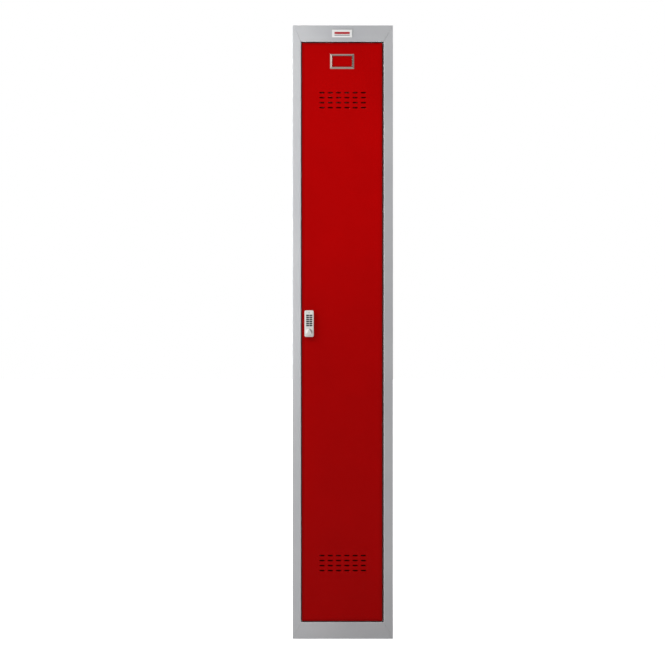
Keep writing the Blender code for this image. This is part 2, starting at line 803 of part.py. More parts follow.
for rail, rail_z, door_z in hinge_ends:
    pin_spot = at(PIVOT_X, PIVOT_DEPTH, rail_z)
    pin_hole_name = rail.name + "_pin_hole"
    cut(rail, rod(pin_hole_name, PIN_RADIUS + FIT_GAP, pin_spot - pin_reach, pin_spot + pin_reach))
    bush_spot = at(PIVOT_X, PIVOT_DEPTH, door_z)
    bush_hole_name = rail.name + "_bush_hole"
    bush_hole_radius = bush_radius + FIT_GAP
    cut(door_panel, rod(bush_hole_name, bush_hole_radius, bush_spot - bush_reach, bush_spot + bush_reach))


# Card holder: a raised frame with a slot for the card, held by two tabs through the door
holder_z = DOOR_TOP - HOLDER_FROM_TOP
holder_back = -FIT_GAP
ring = box_mesh((HOLDER_WIDTH, HOLDER_THICKNESS, HOLDER_HEIGHT))
faces_through = [face for face in ring.faces if abs(face.normal.y) > 0.5]
bmesh.ops.inset_individual(ring, faces=faces_through, thickness=HOLDER_BAR, use_even_offset=True)
window_edges = [edge for face in faces_through for edge in face.edges]
bmesh.ops.delete(ring, geom=faces_through, context="FACES_ONLY")
bmesh.ops.bridge_loops(ring, edges=window_edges)
bmesh.ops.recalc_face_normals(ring, faces=ring.faces)
front_edges = [
    edge
    for edge in ring.edges
    if all(spot.co.y < 0 for spot in edge.verts) and edge.calc_face_angle() > FOLD_ANGLE
]
bmesh.ops.bevel(
    ring,
    geom=front_edges,
    offset=HOLDER_EDGE,
    segments=3,
    profile=0.5,
    affect="EDGES",
)
card_holder = mesh_object("card_holder", ring, NICKEL)
card_holder.location = at(DOOR_CENTRE, holder_back - HOLDER_THICKNESS / 2, holder_z)
card_half_width = HOLDER_WIDTH / 2 - HOLDER_BAR + CARD_OVERLAP
card_pocket = box(
    "card_pocket",
    (
        DOOR_CENTRE - card_half_width,
        holder_back - CARD_SLOT,
        holder_z - HOLDER_HEIGHT / 2 + HOLDER_BAR - CARD_OVERLAP,
    ),
    (DOOR_CENTRE + card_half_width, holder_back + CARD_SLOT, holder_z + HOLDER_HEIGHT),
)
cut(card_holder, card_pocket)
tab_back = DOOR_SHEET + FIT_GAP
for side_name, side in (("left", -1), ("right", 1)):
    tab_x = DOOR_CENTRE + side * (HOLDER_WIDTH / 2 - TAB_SHEET - HOLDER_EDGE)
    tab_ends = sorted((tab_x - side * TAB_SHEET / 2, tab_x + side * TAB_FOOT))
    stem = box(
        f"tab_stem_{side_name}",
        (tab_x - TAB_SHEET / 2, holder_back - TAB_SHEET, holder_z - TAB_WIDTH / 2),
        (tab_x + TAB_SHEET / 2, tab_back + TAB_SHEET / 2, holder_z + TAB_WIDTH / 2),
    )
    foot = box(
        f"tab_foot_{side_name}",
        (tab_ends[0], tab_back, holder_z - TAB_WIDTH / 2),
        (tab_ends[1], tab_back + TAB_SHEET, holder_z + TAB_WIDTH / 2),
    )
    tab_slot = box(
        f"tab_slot_{side_name}",
        (tab_x - TAB_SHEET / 2 - FIT_GAP, -DOOR_SHEET, holder_z - TAB_WIDTH / 2 - FIT_GAP),
        (tab_x + TAB_SHEET / 2 + FIT_GAP, 2 * DOOR_SHEET, holder_z + TAB_WIDTH / 2 + FIT_GAP),
    )
    join(card_holder, stem, foot)
    cut(door_panel, tab_slot)


def along_lock(name, radius, back, front, up=0.0, x=0.0, material=None, sides=ROUND_STEPS):
    """Cylinder across the door, beside the axis of the knob."""
    return rod(name, radius, lock_at(x, back, up), lock_at(x, front, up), material, sides)


# Lock housing, open towards the door
shell = box_mesh((LOCK_WIDTH, HOUSING_FRONT - FIT_GAP, LOCK_TOP - LOCK_BOTTOM))
corner_edges = [edge for edge in shell.edges if edge.verts[0].co.y * edge.verts[1].co.y < 0]
bmesh.ops.bevel(shell, geom=corner_edges, offset=HOUSING_CORNER, segments=4, profile=0.5, affect="EDGES")
shell_front = min(shell.faces, key=lambda face: face.normal.y)
rim_edges = list(shell_front.edges)
bmesh.ops.bevel(shell, geom=rim_edges, offset=HOUSING_EDGE, segments=2, profile=0.5, affect="EDGES")
shell_back = max(shell.faces, key=lambda face: face.normal.y)
bmesh.ops.delete(shell, geom=[shell_back], context="FACES_ONLY")
lock_housing = mesh_object("lock_housing", shell, SILVER_CASE)
lock_housing.location = lock_at(0, (HOUSING_FRONT + FIT_GAP) / 2, (LOCK_TOP + LOCK_BOTTOM) / 2)
housing_sheet = lock_housing.modifiers.new("wall", "SOLIDIFY")
housing_sheet.thickness = HOUSING_WALL
housing_sheet.offset = -1.0
housing_sheet.use_even_offset = True
spindle_hole = along_lock(
    "housing_spindle_hole",
    SPINDLE_RADIUS + FIT_GAP,
    HOUSING_INNER - HOUSING_WALL,
    HOUSING_FRONT + HOUSING_WALL,
)
light_hole = along_lock(
    "housing_light_hole",
    STATUS_LIGHT_RADIUS + FIT_GAP,
    HOUSING_INNER - HOUSING_WALL,
    HOUSING_FRONT + HOUSING_WALL,
    STATUS_LIGHT_RISE,
    sides=SMALL_ROUND_STEPS,
)
cut(lock_housing, spindle_hole, light_hole)
status_light = along_lock(
    "status_light",
    STATUS_LIGHT_RADIUS,
    HOUSING_INNER - HOUSING_WALL,
    HOUSING_FRONT + FIT_GAP,
    STATUS_LIGHT_RISE,
    material=CLEAR_LENS,
    sides=SMALL_ROUND_STEPS,
)

# Twelve keys in two columns, each captive behind the wall of the housing
for row, names in enumerate(KEY_NAMES):
    for column, key_name in enumerate(names):
        key_x = KEYPAD_ASIDE + (column - 0.5) * KEY_PITCH_ACROSS
        key_up = KEYPAD_RISE + ((KEY_ROWS - 1) / 2 - row) * KEY_PITCH_UP
        cap = box_mesh((KEY_WIDTH + 2 * KEY_FLANGE, KEY_FLANGE_THICKNESS, KEY_HEIGHT + 2 * KEY_FLANGE))
        cap_face = min(cap.faces, key=lambda face: face.normal.y)
        bmesh.ops.inset_region(cap, faces=[cap_face], thickness=KEY_FLANGE, use_even_offset=True)
        raised = bmesh.ops.extrude_discrete_faces(cap, faces=[cap_face])["faces"][0]
        cap_rise = HOUSING_FRONT + KEY_PROUD - KEY_BACK - KEY_FLANGE_THICKNESS
        bmesh.ops.translate(cap, verts=raised.verts, vec=(0, -cap_rise, 0))
        cap_edges = list(raised.edges)
        bmesh.ops.bevel(cap, geom=cap_edges, offset=KEY_EDGE, segments=1, profile=0.5, affect="EDGES")
        key = mesh_object(f"key_{key_name}", cap, DARK_KEY)
        key.location = lock_at(key_x, KEY_BACK + KEY_FLANGE_THICKNESS / 2, key_up)
        window = box(
            f"key_window_{key_name}",
            (
                LOCK_X + key_x - KEY_WIDTH / 2 - FIT_GAP,
                -HOUSING_FRONT - HOUSING_WALL,
                KNOB_ABOVE_FLOOR + key_up - KEY_HEIGHT / 2 - FIT_GAP,
            ),
            (
                LOCK_X + key_x + KEY_WIDTH / 2 + FIT_GAP,
                HOUSING_WALL - HOUSING_INNER,
                KNOB_ABOVE_FLOOR + key_up + KEY_HEIGHT / 2 + FIT_GAP,
            ),
        )
        cut(lock_housing, window)

# What the housing holds: key mat, circuit board, two cells and the solenoid
key_mat = lock_box(
    "key_mat",
    KEYPAD_ASIDE + KEY_PITCH_ACROSS / 2 + KEY_WIDTH / 2 + 2 * KEY_FLANGE,
    MAT_BACK,
    MAT_FRONT,
    KEYPAD_RISE - KEYPAD_HALF_HEIGHT - 2 * KEY_FLANGE,
    KEYPAD_RISE + KEYPAD_HALF_HEIGHT + 2 * KEY_FLANGE,
    RUBBER,
)
circuit_board = lock_box(
    "circuit_board",
    LOCK_WIDTH / 2 - HOUSING_WALL - CELL_END_ROOM,
    BOARD_BACK,
    BOARD_BACK + BOARD_THICKNESS,
    CELL_BOTTOM,
    CELL_TOP,
    BOARD_GREEN,
)
for side_name, side in (("left", -1), ("right", 1)):
    turned(
        f"cell_{side_name}",
        [
            (0.0, CELL_LENGTH),
            (CELL_NUB_RADIUS, CELL_LENGTH),
            (CELL_NUB_RADIUS, CELL_LENGTH - CELL_NUB),
            (CELL_RADIUS, CELL_LENGTH - CELL_NUB),
            (CELL_RADIUS, 0.0),
            (0.0, 0.0),
        ],
        lock_at(side * (CELL_RADIUS + CELL_GAP / 2), CELL_CENTRE, CELL_BOTTOM),
        UPRIGHT,
        CELL_JACKET,
        steps=SMALL_ROUND_STEPS,
    )
solenoid = lock_box(
    "solenoid",
    SOLENOID_WIDTH / 2,
    SOLENOID_BACK,
    SOLENOID_BACK + SOLENOID_DEPTH,
    SOLENOID_BOTTOM,
    SOLENOID_TOP,
    ZINC,
)
plunger_out = SOLENOID_BACK + SOLENOID_DEPTH / 2
plunger_top = PLUNGER_TIP + PLUNGER_LENGTH
lock_plunger = rod(
    "lock_plunger",
    PLUNGER_RADIUS,
    lock_at(0, plunger_out, PLUNGER_TIP),
    lock_at(0, plunger_out, plunger_top),
    ZINC,
    SMALL_ROUND_STEPS,
)
plunger_bore = rod(
    "plunger_bore",
    PLUNGER_RADIUS + FIT_GAP,
    lock_at(0, plunger_out, PLUNGER_TIP),
    lock_at(0, plunger_out, plunger_top + FIT_GAP),
    sides=SMALL_ROUND_STEPS,
)
cut(solenoid, plunger_bore)

# Base plate, barrel, nut and screw that hold the lock on the door
lock_base_plate = lock_box(
    "lock_base_plate",
    LOCK_WIDTH / 2 - HOUSING_WALL - FIT_GAP,
    FIT_GAP,
    PLATE_FRONT,
    LOCK_BOTTOM + HOUSING_CORNER,
    LOCK_TOP - HOUSING_CORNER,
    ZINC,
)
barrel_end = CAM_CLEARANCE - CAM_FRONT
barrel_front = PLATE_FRONT + FIT_GAP + BARREL_FLANGE
barrel_bore = SPINDLE_RADIUS + FIT_GAP
lock_barrel = turned(
    "lock_barrel",
    [
        (BARREL_RADIUS + BARREL_FLANGE, barrel_front),
        (BARREL_RADIUS + BARREL_FLANGE, PLATE_FRONT + FIT_GAP),
        (BARREL_RADIUS, PLATE_FRONT + FIT_GAP),
        (BARREL_RADIUS, barrel_end),
        (barrel_bore, barrel_end),
        (barrel_bore, barrel_front),
    ],
    lock_at(0, 0, 0),
    FACING_OUT,
    ZINC,
    ring=True,
)
barrel_hole = along_lock("barrel_hole", BARREL_RADIUS + FIT_GAP, -2 * DOOR_SHEET, 2 * PLATE_FRONT)
cut(lock_base_plate, barrel_hole)
cut(door_panel, along_lock("door_barrel_hole", BARREL_RADIUS + FIT_GAP, -2 * DOOR_SHEET, DOOR_SHEET))
nut_front = -DOOR_SHEET - FIT_GAP
lock_nut = along_lock("lock_nut", NUT_RADIUS, nut_front - NUT_THICKNESS, nut_front, material=ZINC, sides=6)
nut_bore = along_lock(
    "nut_bore",
    BARREL_RADIUS + FIT_GAP,
    nut_front - 2 * NUT_THICKNESS,
    nut_front + NUT_THICKNESS,
)
cut(lock_nut, nut_bore)
lock_fixing_screw = turned(
    "lock_fixing_screw",
    [
        (0.0, PLATE_FRONT - FIT_GAP),
        (FIXING_SCREW_RADIUS, PLATE_FRONT - FIT_GAP),
        (FIXING_SCREW_RADIUS, nut_front),
        (SCREW_HEAD_RADIUS, nut_front),
        (SCREW_HEAD_RADIUS, nut_front - SCREW_HEAD),
        (0.0, nut_front - SCREW_HEAD),
    ],
    lock_at(0, 0, FIXING_SCREW_RISE),
    FACING_OUT,
    ZINC,
    steps=SMALL_ROUND_STEPS,
)
for holed in (lock_base_plate, door_panel):
    screw_hole = along_lock(
        holed.name + "_screw_hole",
        FIXING_SCREW_RADIUS + FIT_GAP,
        -2 * DOOR_SHEET,
        2 * PLATE_FRONT,
        FIXING_SCREW_RISE,
        sides=SMALL_ROUND_STEPS,
    )
    cut(holed, screw_hole)

# Knob on a spindle that carries the cam behind the door. Its front falls back towards the bottom, and a
# flank on either side runs down from a ridge, so that it points up
knob_bore_front = KNOB_BACK + SPINDLE_GRIP
lock_knob = turned(
    "lock_knob",
    [
        (0.0, KNOB_FRONT),
        (KNOB_RADIUS - KNOB_EDGE, KNOB_FRONT),
        (KNOB_RADIUS, KNOB_FRONT - KNOB_EDGE),
        (KNOB_RADIUS, KNOB_BACK),
        (SPINDLE_RADIUS + FIT_GAP, KNOB_BACK),
        (SPINDLE_RADIUS + FIT_GAP, knob_bore_front),
        (0.0, knob_bore_front),
    ],
    lock_at(0, 0, 0),
    FACING_OUT,
    SILVER_CASE,
)
knob_foot = KNOB_FRONT - KNOB_FALL
knob_brow = facet(
    "knob_brow",
    4 * KNOB_RADIUS,
    lock_at(-KNOB_RADIUS, KNOB_FRONT, KNOB_RADIUS - KNOB_EDGE),
    lock_at(KNOB_RADIUS, KNOB_FRONT, KNOB_RADIUS - KNOB_EDGE),
    lock_at(KNOB_RADIUS, knob_foot, -KNOB_RADIUS),
)
cut(lock_knob, knob_brow)
for side_name, side in (("left", -1), ("right", 1)):
    knob_flank = facet(
        f"knob_flank_{side_name}",
        4 * KNOB_RADIUS,
        lock_at(side * KNOB_RIDGE / 2, KNOB_FRONT, KNOB_RADIUS),
        lock_at(side * KNOB_RADIUS, KNOB_BACK + KNOB_BASE, KNOB_RADIUS),
        lock_at(side * KNOB_RADIUS, knob_foot, -KNOB_RADIUS),
    )
    cut(lock_knob, knob_flank)
spindle_end = -CAM_FRONT + FIT_GAP
spindle_front = knob_bore_front - FIT_GAP
lock_spindle = along_lock("lock_spindle", SPINDLE_RADIUS, spindle_end, spindle_front, material=ZINC)
square_end = lock_box(
    "spindle_square",
    CAM_SQUARE / 2,
    -CAM_FRONT - CAM_THICKNESS + FIT_GAP,
    spindle_end + CAM_CLEARANCE,
    -CAM_SQUARE / 2,
    CAM_SQUARE / 2,
)
join(lock_spindle, square_end)
cam_back = -CAM_FRONT - CAM_THICKNESS
tapped_hole = along_lock(
    "spindle_tapped_hole",
    CAM_SCREW_RADIUS + FIT_GAP,
    cam_back - FIT_GAP,
    cam_back + CAM_SCREW_LENGTH + FIT_GAP,
    sides=SMALL_ROUND_STEPS,
)
cut(lock_spindle, tapped_hole)
notch_half = PLUNGER_RADIUS + NOTCH_CLEARANCE
notch_floor = PLUNGER_TIP - PLUNGER_TRAVEL - NOTCH_CLEARANCE
locked_notch = box(
    "notch_when_locked",
    (LOCK_X - 2 * SPINDLE_RADIUS, -plunger_out - notch_half, KNOB_ABOVE_FLOOR - notch_half),
    (LOCK_X - notch_floor, -plunger_out + notch_half, KNOB_ABOVE_FLOOR + notch_half),
)
open_notch = lock_box(
    "notch_when_open",
    notch_half,
    plunger_out - notch_half,
    plunger_out + notch_half,
    notch_floor,
    2 * SPINDLE_RADIUS,
)
cut(lock_spindle, open_notch, locked_notch)
cam_bar = bmesh.new()
cam_length = CAM_REACH + CAM_WIDTH / 2
cam_place = (0, 0, CAM_WIDTH / 2 - cam_length / 2)
add_obround(cam_bar, UP, cam_length, CAM_WIDTH, CAM_THICKNESS, cam_place, ROUND_STEPS)
lock_cam = mesh_object("lock_cam", cam_bar, ZINC)
lock_cam.location = lock_at(0, -CAM_FRONT - CAM_THICKNESS / 2, 0)
cam_hole_half = CAM_SQUARE / 2 + FIT_GAP
cam_hole = lock_box(
    "cam_square_hole",
    cam_hole_half,
    -CAM_FRONT - 2 * CAM_THICKNESS,
    -CAM_FRONT + CAM_THICKNESS,
    -cam_hole_half,
    cam_hole_half,
)
cut(lock_cam, cam_hole)
cam_screw = turned(
    "cam_screw",
    [
        (0.0, cam_back + CAM_SCREW_LENGTH),
        (CAM_SCREW_RADIUS, cam_back + CAM_SCREW_LENGTH),
        (CAM_SCREW_RADIUS, cam_back - FIT_GAP),
        (SCREW_HEAD_RADIUS, cam_back - FIT_GAP),
        (SCREW_HEAD_RADIUS, cam_back - FIT_GAP - SCREW_HEAD),
        (0.0, cam_back - FIT_GAP - SCREW_HEAD),
    ],
    lock_at(0, 0, 0),
    FACING_OUT,
    ZINC,
    steps=SMALL_ROUND_STEPS,
)

# What moves with the door, and what turns with the knob
door_pivot = bpy.data.objects.new("door_pivot", None)
PARTS.objects.link(door_pivot)
door_pivot.location = at(PIVOT_X, PIVOT_DEPTH, DOOR_BOTTOM)
for piece in (door_panel, door_stiffener, card_holder, hinge_bush_top, hinge_bush_bottom):
    follow(piece, door_pivot)
for piece in (lock_housing, lock_base_plate, lock_barrel, lock_nut, lock_fixing_screw, lock_knob):
    follow(piece, door_panel)
for piece in (key_mat, circuit_board, solenoid, lock_plunger, status_light):
    follow(piece, lock_housing)
for piece_name in ["cell_left", "cell_right"] + [f"key_{name}" for names in KEY_NAMES for name in names]:
    follow(bpy.data.objects[piece_name], lock_housing)
for piece in (lock_spindle, lock_cam, cam_screw):
    follow(piece, lock_knob)
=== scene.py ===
"""Looks of a tall single-door steel locker with a keypad lock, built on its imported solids."""

import json
import math

import bmesh
import bpy
from mathutils import Matrix, Vector

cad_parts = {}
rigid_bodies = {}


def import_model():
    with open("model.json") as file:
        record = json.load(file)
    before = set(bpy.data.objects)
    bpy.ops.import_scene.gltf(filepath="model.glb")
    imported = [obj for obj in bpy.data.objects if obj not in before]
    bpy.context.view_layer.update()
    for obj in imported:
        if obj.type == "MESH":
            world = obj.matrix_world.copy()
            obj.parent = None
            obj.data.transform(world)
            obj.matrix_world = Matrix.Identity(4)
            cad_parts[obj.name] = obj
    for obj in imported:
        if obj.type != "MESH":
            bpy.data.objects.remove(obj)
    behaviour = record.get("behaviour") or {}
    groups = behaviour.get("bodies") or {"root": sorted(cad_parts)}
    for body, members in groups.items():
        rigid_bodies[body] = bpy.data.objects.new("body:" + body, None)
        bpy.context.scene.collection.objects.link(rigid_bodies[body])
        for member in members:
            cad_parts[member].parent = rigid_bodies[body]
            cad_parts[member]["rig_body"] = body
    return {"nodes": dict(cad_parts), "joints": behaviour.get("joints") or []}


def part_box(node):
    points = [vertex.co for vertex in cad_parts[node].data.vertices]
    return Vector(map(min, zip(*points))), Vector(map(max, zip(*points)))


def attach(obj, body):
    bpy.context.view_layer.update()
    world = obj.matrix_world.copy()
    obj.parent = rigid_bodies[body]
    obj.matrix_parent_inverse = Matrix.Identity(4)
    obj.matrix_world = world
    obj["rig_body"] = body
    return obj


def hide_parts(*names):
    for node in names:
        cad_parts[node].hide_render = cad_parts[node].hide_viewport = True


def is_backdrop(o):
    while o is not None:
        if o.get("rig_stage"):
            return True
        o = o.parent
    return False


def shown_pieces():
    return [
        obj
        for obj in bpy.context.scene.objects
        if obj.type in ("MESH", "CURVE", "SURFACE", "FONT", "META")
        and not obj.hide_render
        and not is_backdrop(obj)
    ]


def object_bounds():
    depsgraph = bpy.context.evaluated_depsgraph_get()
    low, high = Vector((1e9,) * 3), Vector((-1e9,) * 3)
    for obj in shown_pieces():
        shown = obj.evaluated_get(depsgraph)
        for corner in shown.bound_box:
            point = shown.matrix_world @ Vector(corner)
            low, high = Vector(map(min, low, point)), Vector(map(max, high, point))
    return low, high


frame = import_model()
cad_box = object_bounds()

# Carcass: side walls with folded stiles, back, roof, floor, shelf and the two frame rails.
# Steel sheet 0.8 mm thick, folded and spot welded, then sprayed with pale grey powder and baked.
CARCASS_SHEETS = (
    "left_side_panel",
    "right_side_panel",
    "back_panel",
    "roof_panel",
    "top_rail",
    "kick_plate",
    "base_tray",
    "hat_shelf",
)
GREY = 0xB0B1B3
GREY_THICK = 0xABACAF
# Paler greys for the folds: a painted highlight along the bends, not a different coat.
GREY_FOLD_HIGHLIGHT = 0xC9CACC
GREY_FOLD_HIGHLIGHT_DEEP = 0xC6C7C9
GREY_GLOSS = 0.35
COAT_MOTTLE = 0.140
ORANGE_PEEL = 0.009
ORANGE_PEEL_HEIGHT = 0.00003
SHEET_EDGE = 0.0001
WELD_DISTANCE = 0.000002
FLAT_ANGLE = math.radians(1)
CREASE_ANGLE = math.radians(35)
FOLD_TILT = math.cos(math.radians(10))
# Sockets of a colour mix, by number because its sockets for plain numbers have the same names.
MIX_FROM = 6
MIX_TO = 7
MIX_RESULT = 2


def linear(colour):
    """Linear RGBA of an sRGB hex colour."""
    channels = [(colour >> shift & 255) / 255 for shift in (16, 8, 0)]
    curve = [c / 12.92 if c <= 0.04045 else ((c + 0.055) / 1.055) ** 2.4 for c in channels]
    return (*curve, 1.0)


def add_node(tree, kind, inputs, **settings):
    """Adds a node. Each input takes a value, or the output that feeds it."""
    node = tree.nodes.new(kind)
    for setting, value in settings.items():
        setattr(node, setting, value)
    for socket, value in inputs.items():
        if isinstance(value, bpy.types.NodeSocket):
            tree.links.new(value, node.inputs[socket])
        else:
            node.inputs[socket].default_value = value
    return node


def blank_finish(name, **sockets):
    """New material: its tree, its shader with some sockets set, and the place on the piece in metres."""
    material = bpy.data.materials.new(name)
    material.use_nodes = True
    tree = material.node_tree
    shader = tree.nodes["Principled BSDF"]
    for socket, value in sockets.items():
        shader.inputs[socket.replace("_", " ")].default_value = value
    place = add_node(tree, "ShaderNodeTexCoord", {}).outputs["Object"]
    return material, tree, shader, place


def powder_coat(name, colour, thick_colour, gloss):
    """Polyester powder baked on steel: an even satin colour, slightly deeper where the coat is thick.
    Its surface has low waves, called orange peel. They are 2 mm apart, and drawn at 9 mm to show."""
    material, tree, shader, place = blank_finish(name, IOR=1.5, Specular_IOR_Level=gloss)
    mottle = add_node(tree, "ShaderNodeTexNoise", {"Vector": place, "Scale": 1 / COAT_MOTTLE, "Detail": 4.0})
    spread = {"Value": mottle.outputs[0], "From Min": 0.35, "From Max": 0.65}
    thickness = add_node(tree, "ShaderNodeMapRange", spread)
    colours = {"Factor": thickness.outputs[0], MIX_FROM: linear(colour), MIX_TO: linear(thick_colour)}
    coat = add_node(tree, "ShaderNodeMix", colours, data_type="RGBA")
    tree.links.new(coat.outputs[MIX_RESULT], shader.inputs["Base Color"])
    peel = add_node(tree, "ShaderNodeTexNoise", {"Vector": place, "Scale": 1 / ORANGE_PEEL, "Detail": 2.0})
    sheen = {"Value": peel.outputs[0], "To Min": 0.30, "To Max": 0.40}
    tree.links.new(add_node(tree, "ShaderNodeMapRange", sheen).outputs[0], shader.inputs["Roughness"])
    waves = {"Height": peel.outputs[0], "Distance": ORANGE_PEEL_HEIGHT, "Strength": 0.6}
    tree.links.new(add_node(tree, "ShaderNodeBump", waves).outputs[0], shader.inputs["Normal"])
    return material


def settle(piece):
    """Turns the modifiers of a piece into plain mesh with no empty faces, smooth up to its creases."""
    graph = bpy.context.evaluated_depsgraph_get()
    shaped = bpy.data.meshes.new_from_object(piece.evaluated_get(graph))
    bm = bmesh.new()
    bm.from_mesh(shaped)
    bmesh.ops.dissolve_degenerate(bm, dist=WELD_DISTANCE, edges=bm.edges)
    bm.to_mesh(shaped)
    bm.free()
    piece.modifiers.clear()
    piece.data = shaped
    shaped.shade_smooth()
    shaped.set_sharp_from_angle(angle=CREASE_ANGLE)


def add_piece(name, bm, material):
    """Object from a bmesh, smooth up to its creases."""
    mesh = bpy.data.meshes.new(name)
    bm.to_mesh(mesh)
    bm.free()
    mesh.materials.append(material)
    piece = bpy.data.objects.new(name, mesh)
    bpy.context.scene.collection.objects.link(piece)
    settle(piece)
    return piece


def keep_flats_flat(piece):
    """Lets large faces rule the shading, so that only folds and rounded edges look round."""
    normals = piece.modifiers.new("normals", "WEIGHTED_NORMAL")
    normals.weight = 100
    normals.keep_sharp = True


def stand_for(piece, node):
    """The piece replaces a solid and rides where that rides."""
    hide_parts(node)
    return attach(piece, frame["nodes"][node]["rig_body"])


def broken_edges(node, material, edge):
    """Copy of a solid, with its round faces smooth and its cut edges slightly rounded."""
    bm = bmesh.new()
    bm.from_mesh(frame["nodes"][node].data)
    bmesh.ops.remove_doubles(bm, verts=bm.verts, dist=WELD_DISTANCE)
    bmesh.ops.dissolve_limit(bm, angle_limit=FLAT_ANGLE, verts=bm.verts, edges=bm.edges)
    creases = [e for e in bm.edges if e.is_manifold and e.calc_face_angle() > CREASE_ANGLE]
    rounding = {"offset": edge, "segments": 2, "profile": 0.5, "affect": "EDGES", "clamp_overlap": True}
    bmesh.ops.bevel(bm, geom=creases, **rounding)
    return add_piece(f"{node}_finished", bm, material)


def deburred(node, material, edge):
    """Piece with broken edges and flat flats, in the place of its solid."""
    piece = broken_edges(node, material, edge)
    keep_flats_flat(piece)
    return stand_for(piece, node)


def paint_fold_highlight(piece, material):
    """Paints the folds a paler grey than the flats: a painted highlight along every bend."""
    piece.data.materials.append(material)
    for face in piece.data.polygons:
        if max(abs(part) for part in face.normal) < FOLD_TILT:
            face.material_index = 1


grey_powder_coat = powder_coat("grey_powder_coat", GREY, GREY_THICK, gloss=GREY_GLOSS)
# The fold coat is the grey coat made paler, a painted highlight on every fold of the carcass.
grey_fold_highlight_coat = powder_coat("grey_powder_coat_painted_highlight", GREY_FOLD_HIGHLIGHT, GREY_FOLD_HIGHLIGHT_DEEP, gloss=GREY_GLOSS)
carcass_pieces = {}
for sheet in CARCASS_SHEETS:
    carcass_pieces[sheet] = deburred(sheet, grey_powder_coat, SHEET_EDGE)
    paint_fold_highlight(carcass_pieces[sheet], grey_fold_highlight_coat)

# Coat rail, strike plate and hinge pins: steel tube, strip and bar, cut to length, deburred and then
# zinc plated. The rail drops into its sockets, the strike is welded and the pins are pressed in.
TURNED_EDGE = 0.00025
ZINC_GRAIN = 0.004


def zinc_plate(name):
    """Bright zinc on steel: a cool metal with faint blotches where the plating's grain changes."""
    material, tree, shader, place = blank_finish(name, Metallic=1.0)
    grain = add_node(tree, "ShaderNodeTexNoise", {"Vector": place, "Scale": 1 / ZINC_GRAIN, "Detail": 5.0})
    colours = {"Factor": grain.outputs[0], MIX_FROM: linear(0xC6CACD), MIX_TO: linear(0xA9AEB3)}
    plating = add_node(tree, "ShaderNodeMix", colours, data_type="RGBA")
    tree.links.new(plating.outputs[MIX_RESULT], shader.inputs["Base Color"])
    sheen = {"Value": grain.outputs[0], "To Min": 0.24, "To Max": 0.42}
    tree.links.new(add_node(tree, "ShaderNodeMapRange", sheen).outputs[0], shader.inputs["Roughness"])
    return material


zinc = zinc_plate("bright_zinc_plate")
for node in ("coat_rail", "strike_plate", "hinge_pin_top", "hinge_pin_bottom"):
    deburred(node, zinc, TURNED_EDGE)

# Coat rail sockets and hinge bushes, moulded in black nylon. The sockets are riveted to the sides,
# and the bushes are pressed into the door.
MOULD_EDGE = 0.0003
MOULD_GRAIN = 0.0015


def moulded(name, colour, worn_colour, roughness):
    """Moulded plastic or rubber, or ink printed on it: the fine grain of the mould breaks up the shine and
    shifts the colour. The grain is 0.1 mm, and drawn at 1.5 mm to show."""
    material, tree, shader, place = blank_finish(name, IOR=1.5)
    grain = add_node(tree, "ShaderNodeTexNoise", {"Vector": place, "Scale": 1 / MOULD_GRAIN, "Detail": 3.0})
    colours = {"Factor": grain.outputs[0], MIX_FROM: linear(colour), MIX_TO: linear(worn_colour)}
    skin = add_node(tree, "ShaderNodeMix", colours, data_type="RGBA")
    tree.links.new(skin.outputs[MIX_RESULT], shader.inputs["Base Color"])
    sheen = {"Value": grain.outputs[0], "To Min": roughness[0], "To Max": roughness[1]}
    tree.links.new(add_node(tree, "ShaderNodeMapRange", sheen).outputs[0], shader.inputs["Roughness"])
    return material


nylon = moulded("black_nylon", 0x232324, 0x2B2B2C, roughness=(0.40, 0.55))
for node in ("rail_socket_left", "rail_socket_right", "hinge_bush_top", "hinge_bush_bottom"):
    deburred(node, nylon, MOULD_EDGE)

# Door buffers: two round buttons moulded in black rubber and glued to the door stop, so that the door closes
# without a clang.
BUFFER_EDGE = 0.0007

rubber = moulded("black_rubber", 0x1B1B1C, 0x242425, roughness=(0.70, 0.85))
for node in ("door_buffer_lower", "door_buffer_upper"):
    deburred(node, rubber, BUFFER_EDGE)

# Badge: a small plate, moulded in white ABS with a rounded rim and glued to the top rail. It is bare but for
# two plain printed rules.
BADGE_CORNER = 0.0012
BADGE_RIM = 0.0004
RULE_PRINT = 0.00005
RULE_INSET = 0.12
ROUND_STEPS = 6


def rounded_block(name, low, high, corner, rim, material):
    """Block between two corners. Seen from the front, its four corners and its front rim are round."""
    bm = bmesh.new()
    low, high = Vector(low), Vector(high)
    bmesh.ops.create_cube(bm, size=1.0)
    bmesh.ops.scale(bm, vec=high - low, verts=bm.verts)
    bmesh.ops.translate(bm, vec=(low + high) / 2, verts=bm.verts)
    bm.normal_update()
    through = [e for e in bm.edges if abs(e.verts[0].co.y - e.verts[1].co.y) > WELD_DISTANCE]
    rounding = {"segments": ROUND_STEPS, "profile": 0.5, "affect": "EDGES"}
    bmesh.ops.bevel(bm, geom=through, offset=corner, **rounding)
    front = min(bm.faces, key=lambda face: face.calc_center_median().y)
    bmesh.ops.bevel(bm, geom=list(front.edges), offset=rim, **rounding)
    return add_piece(name, bm, material)


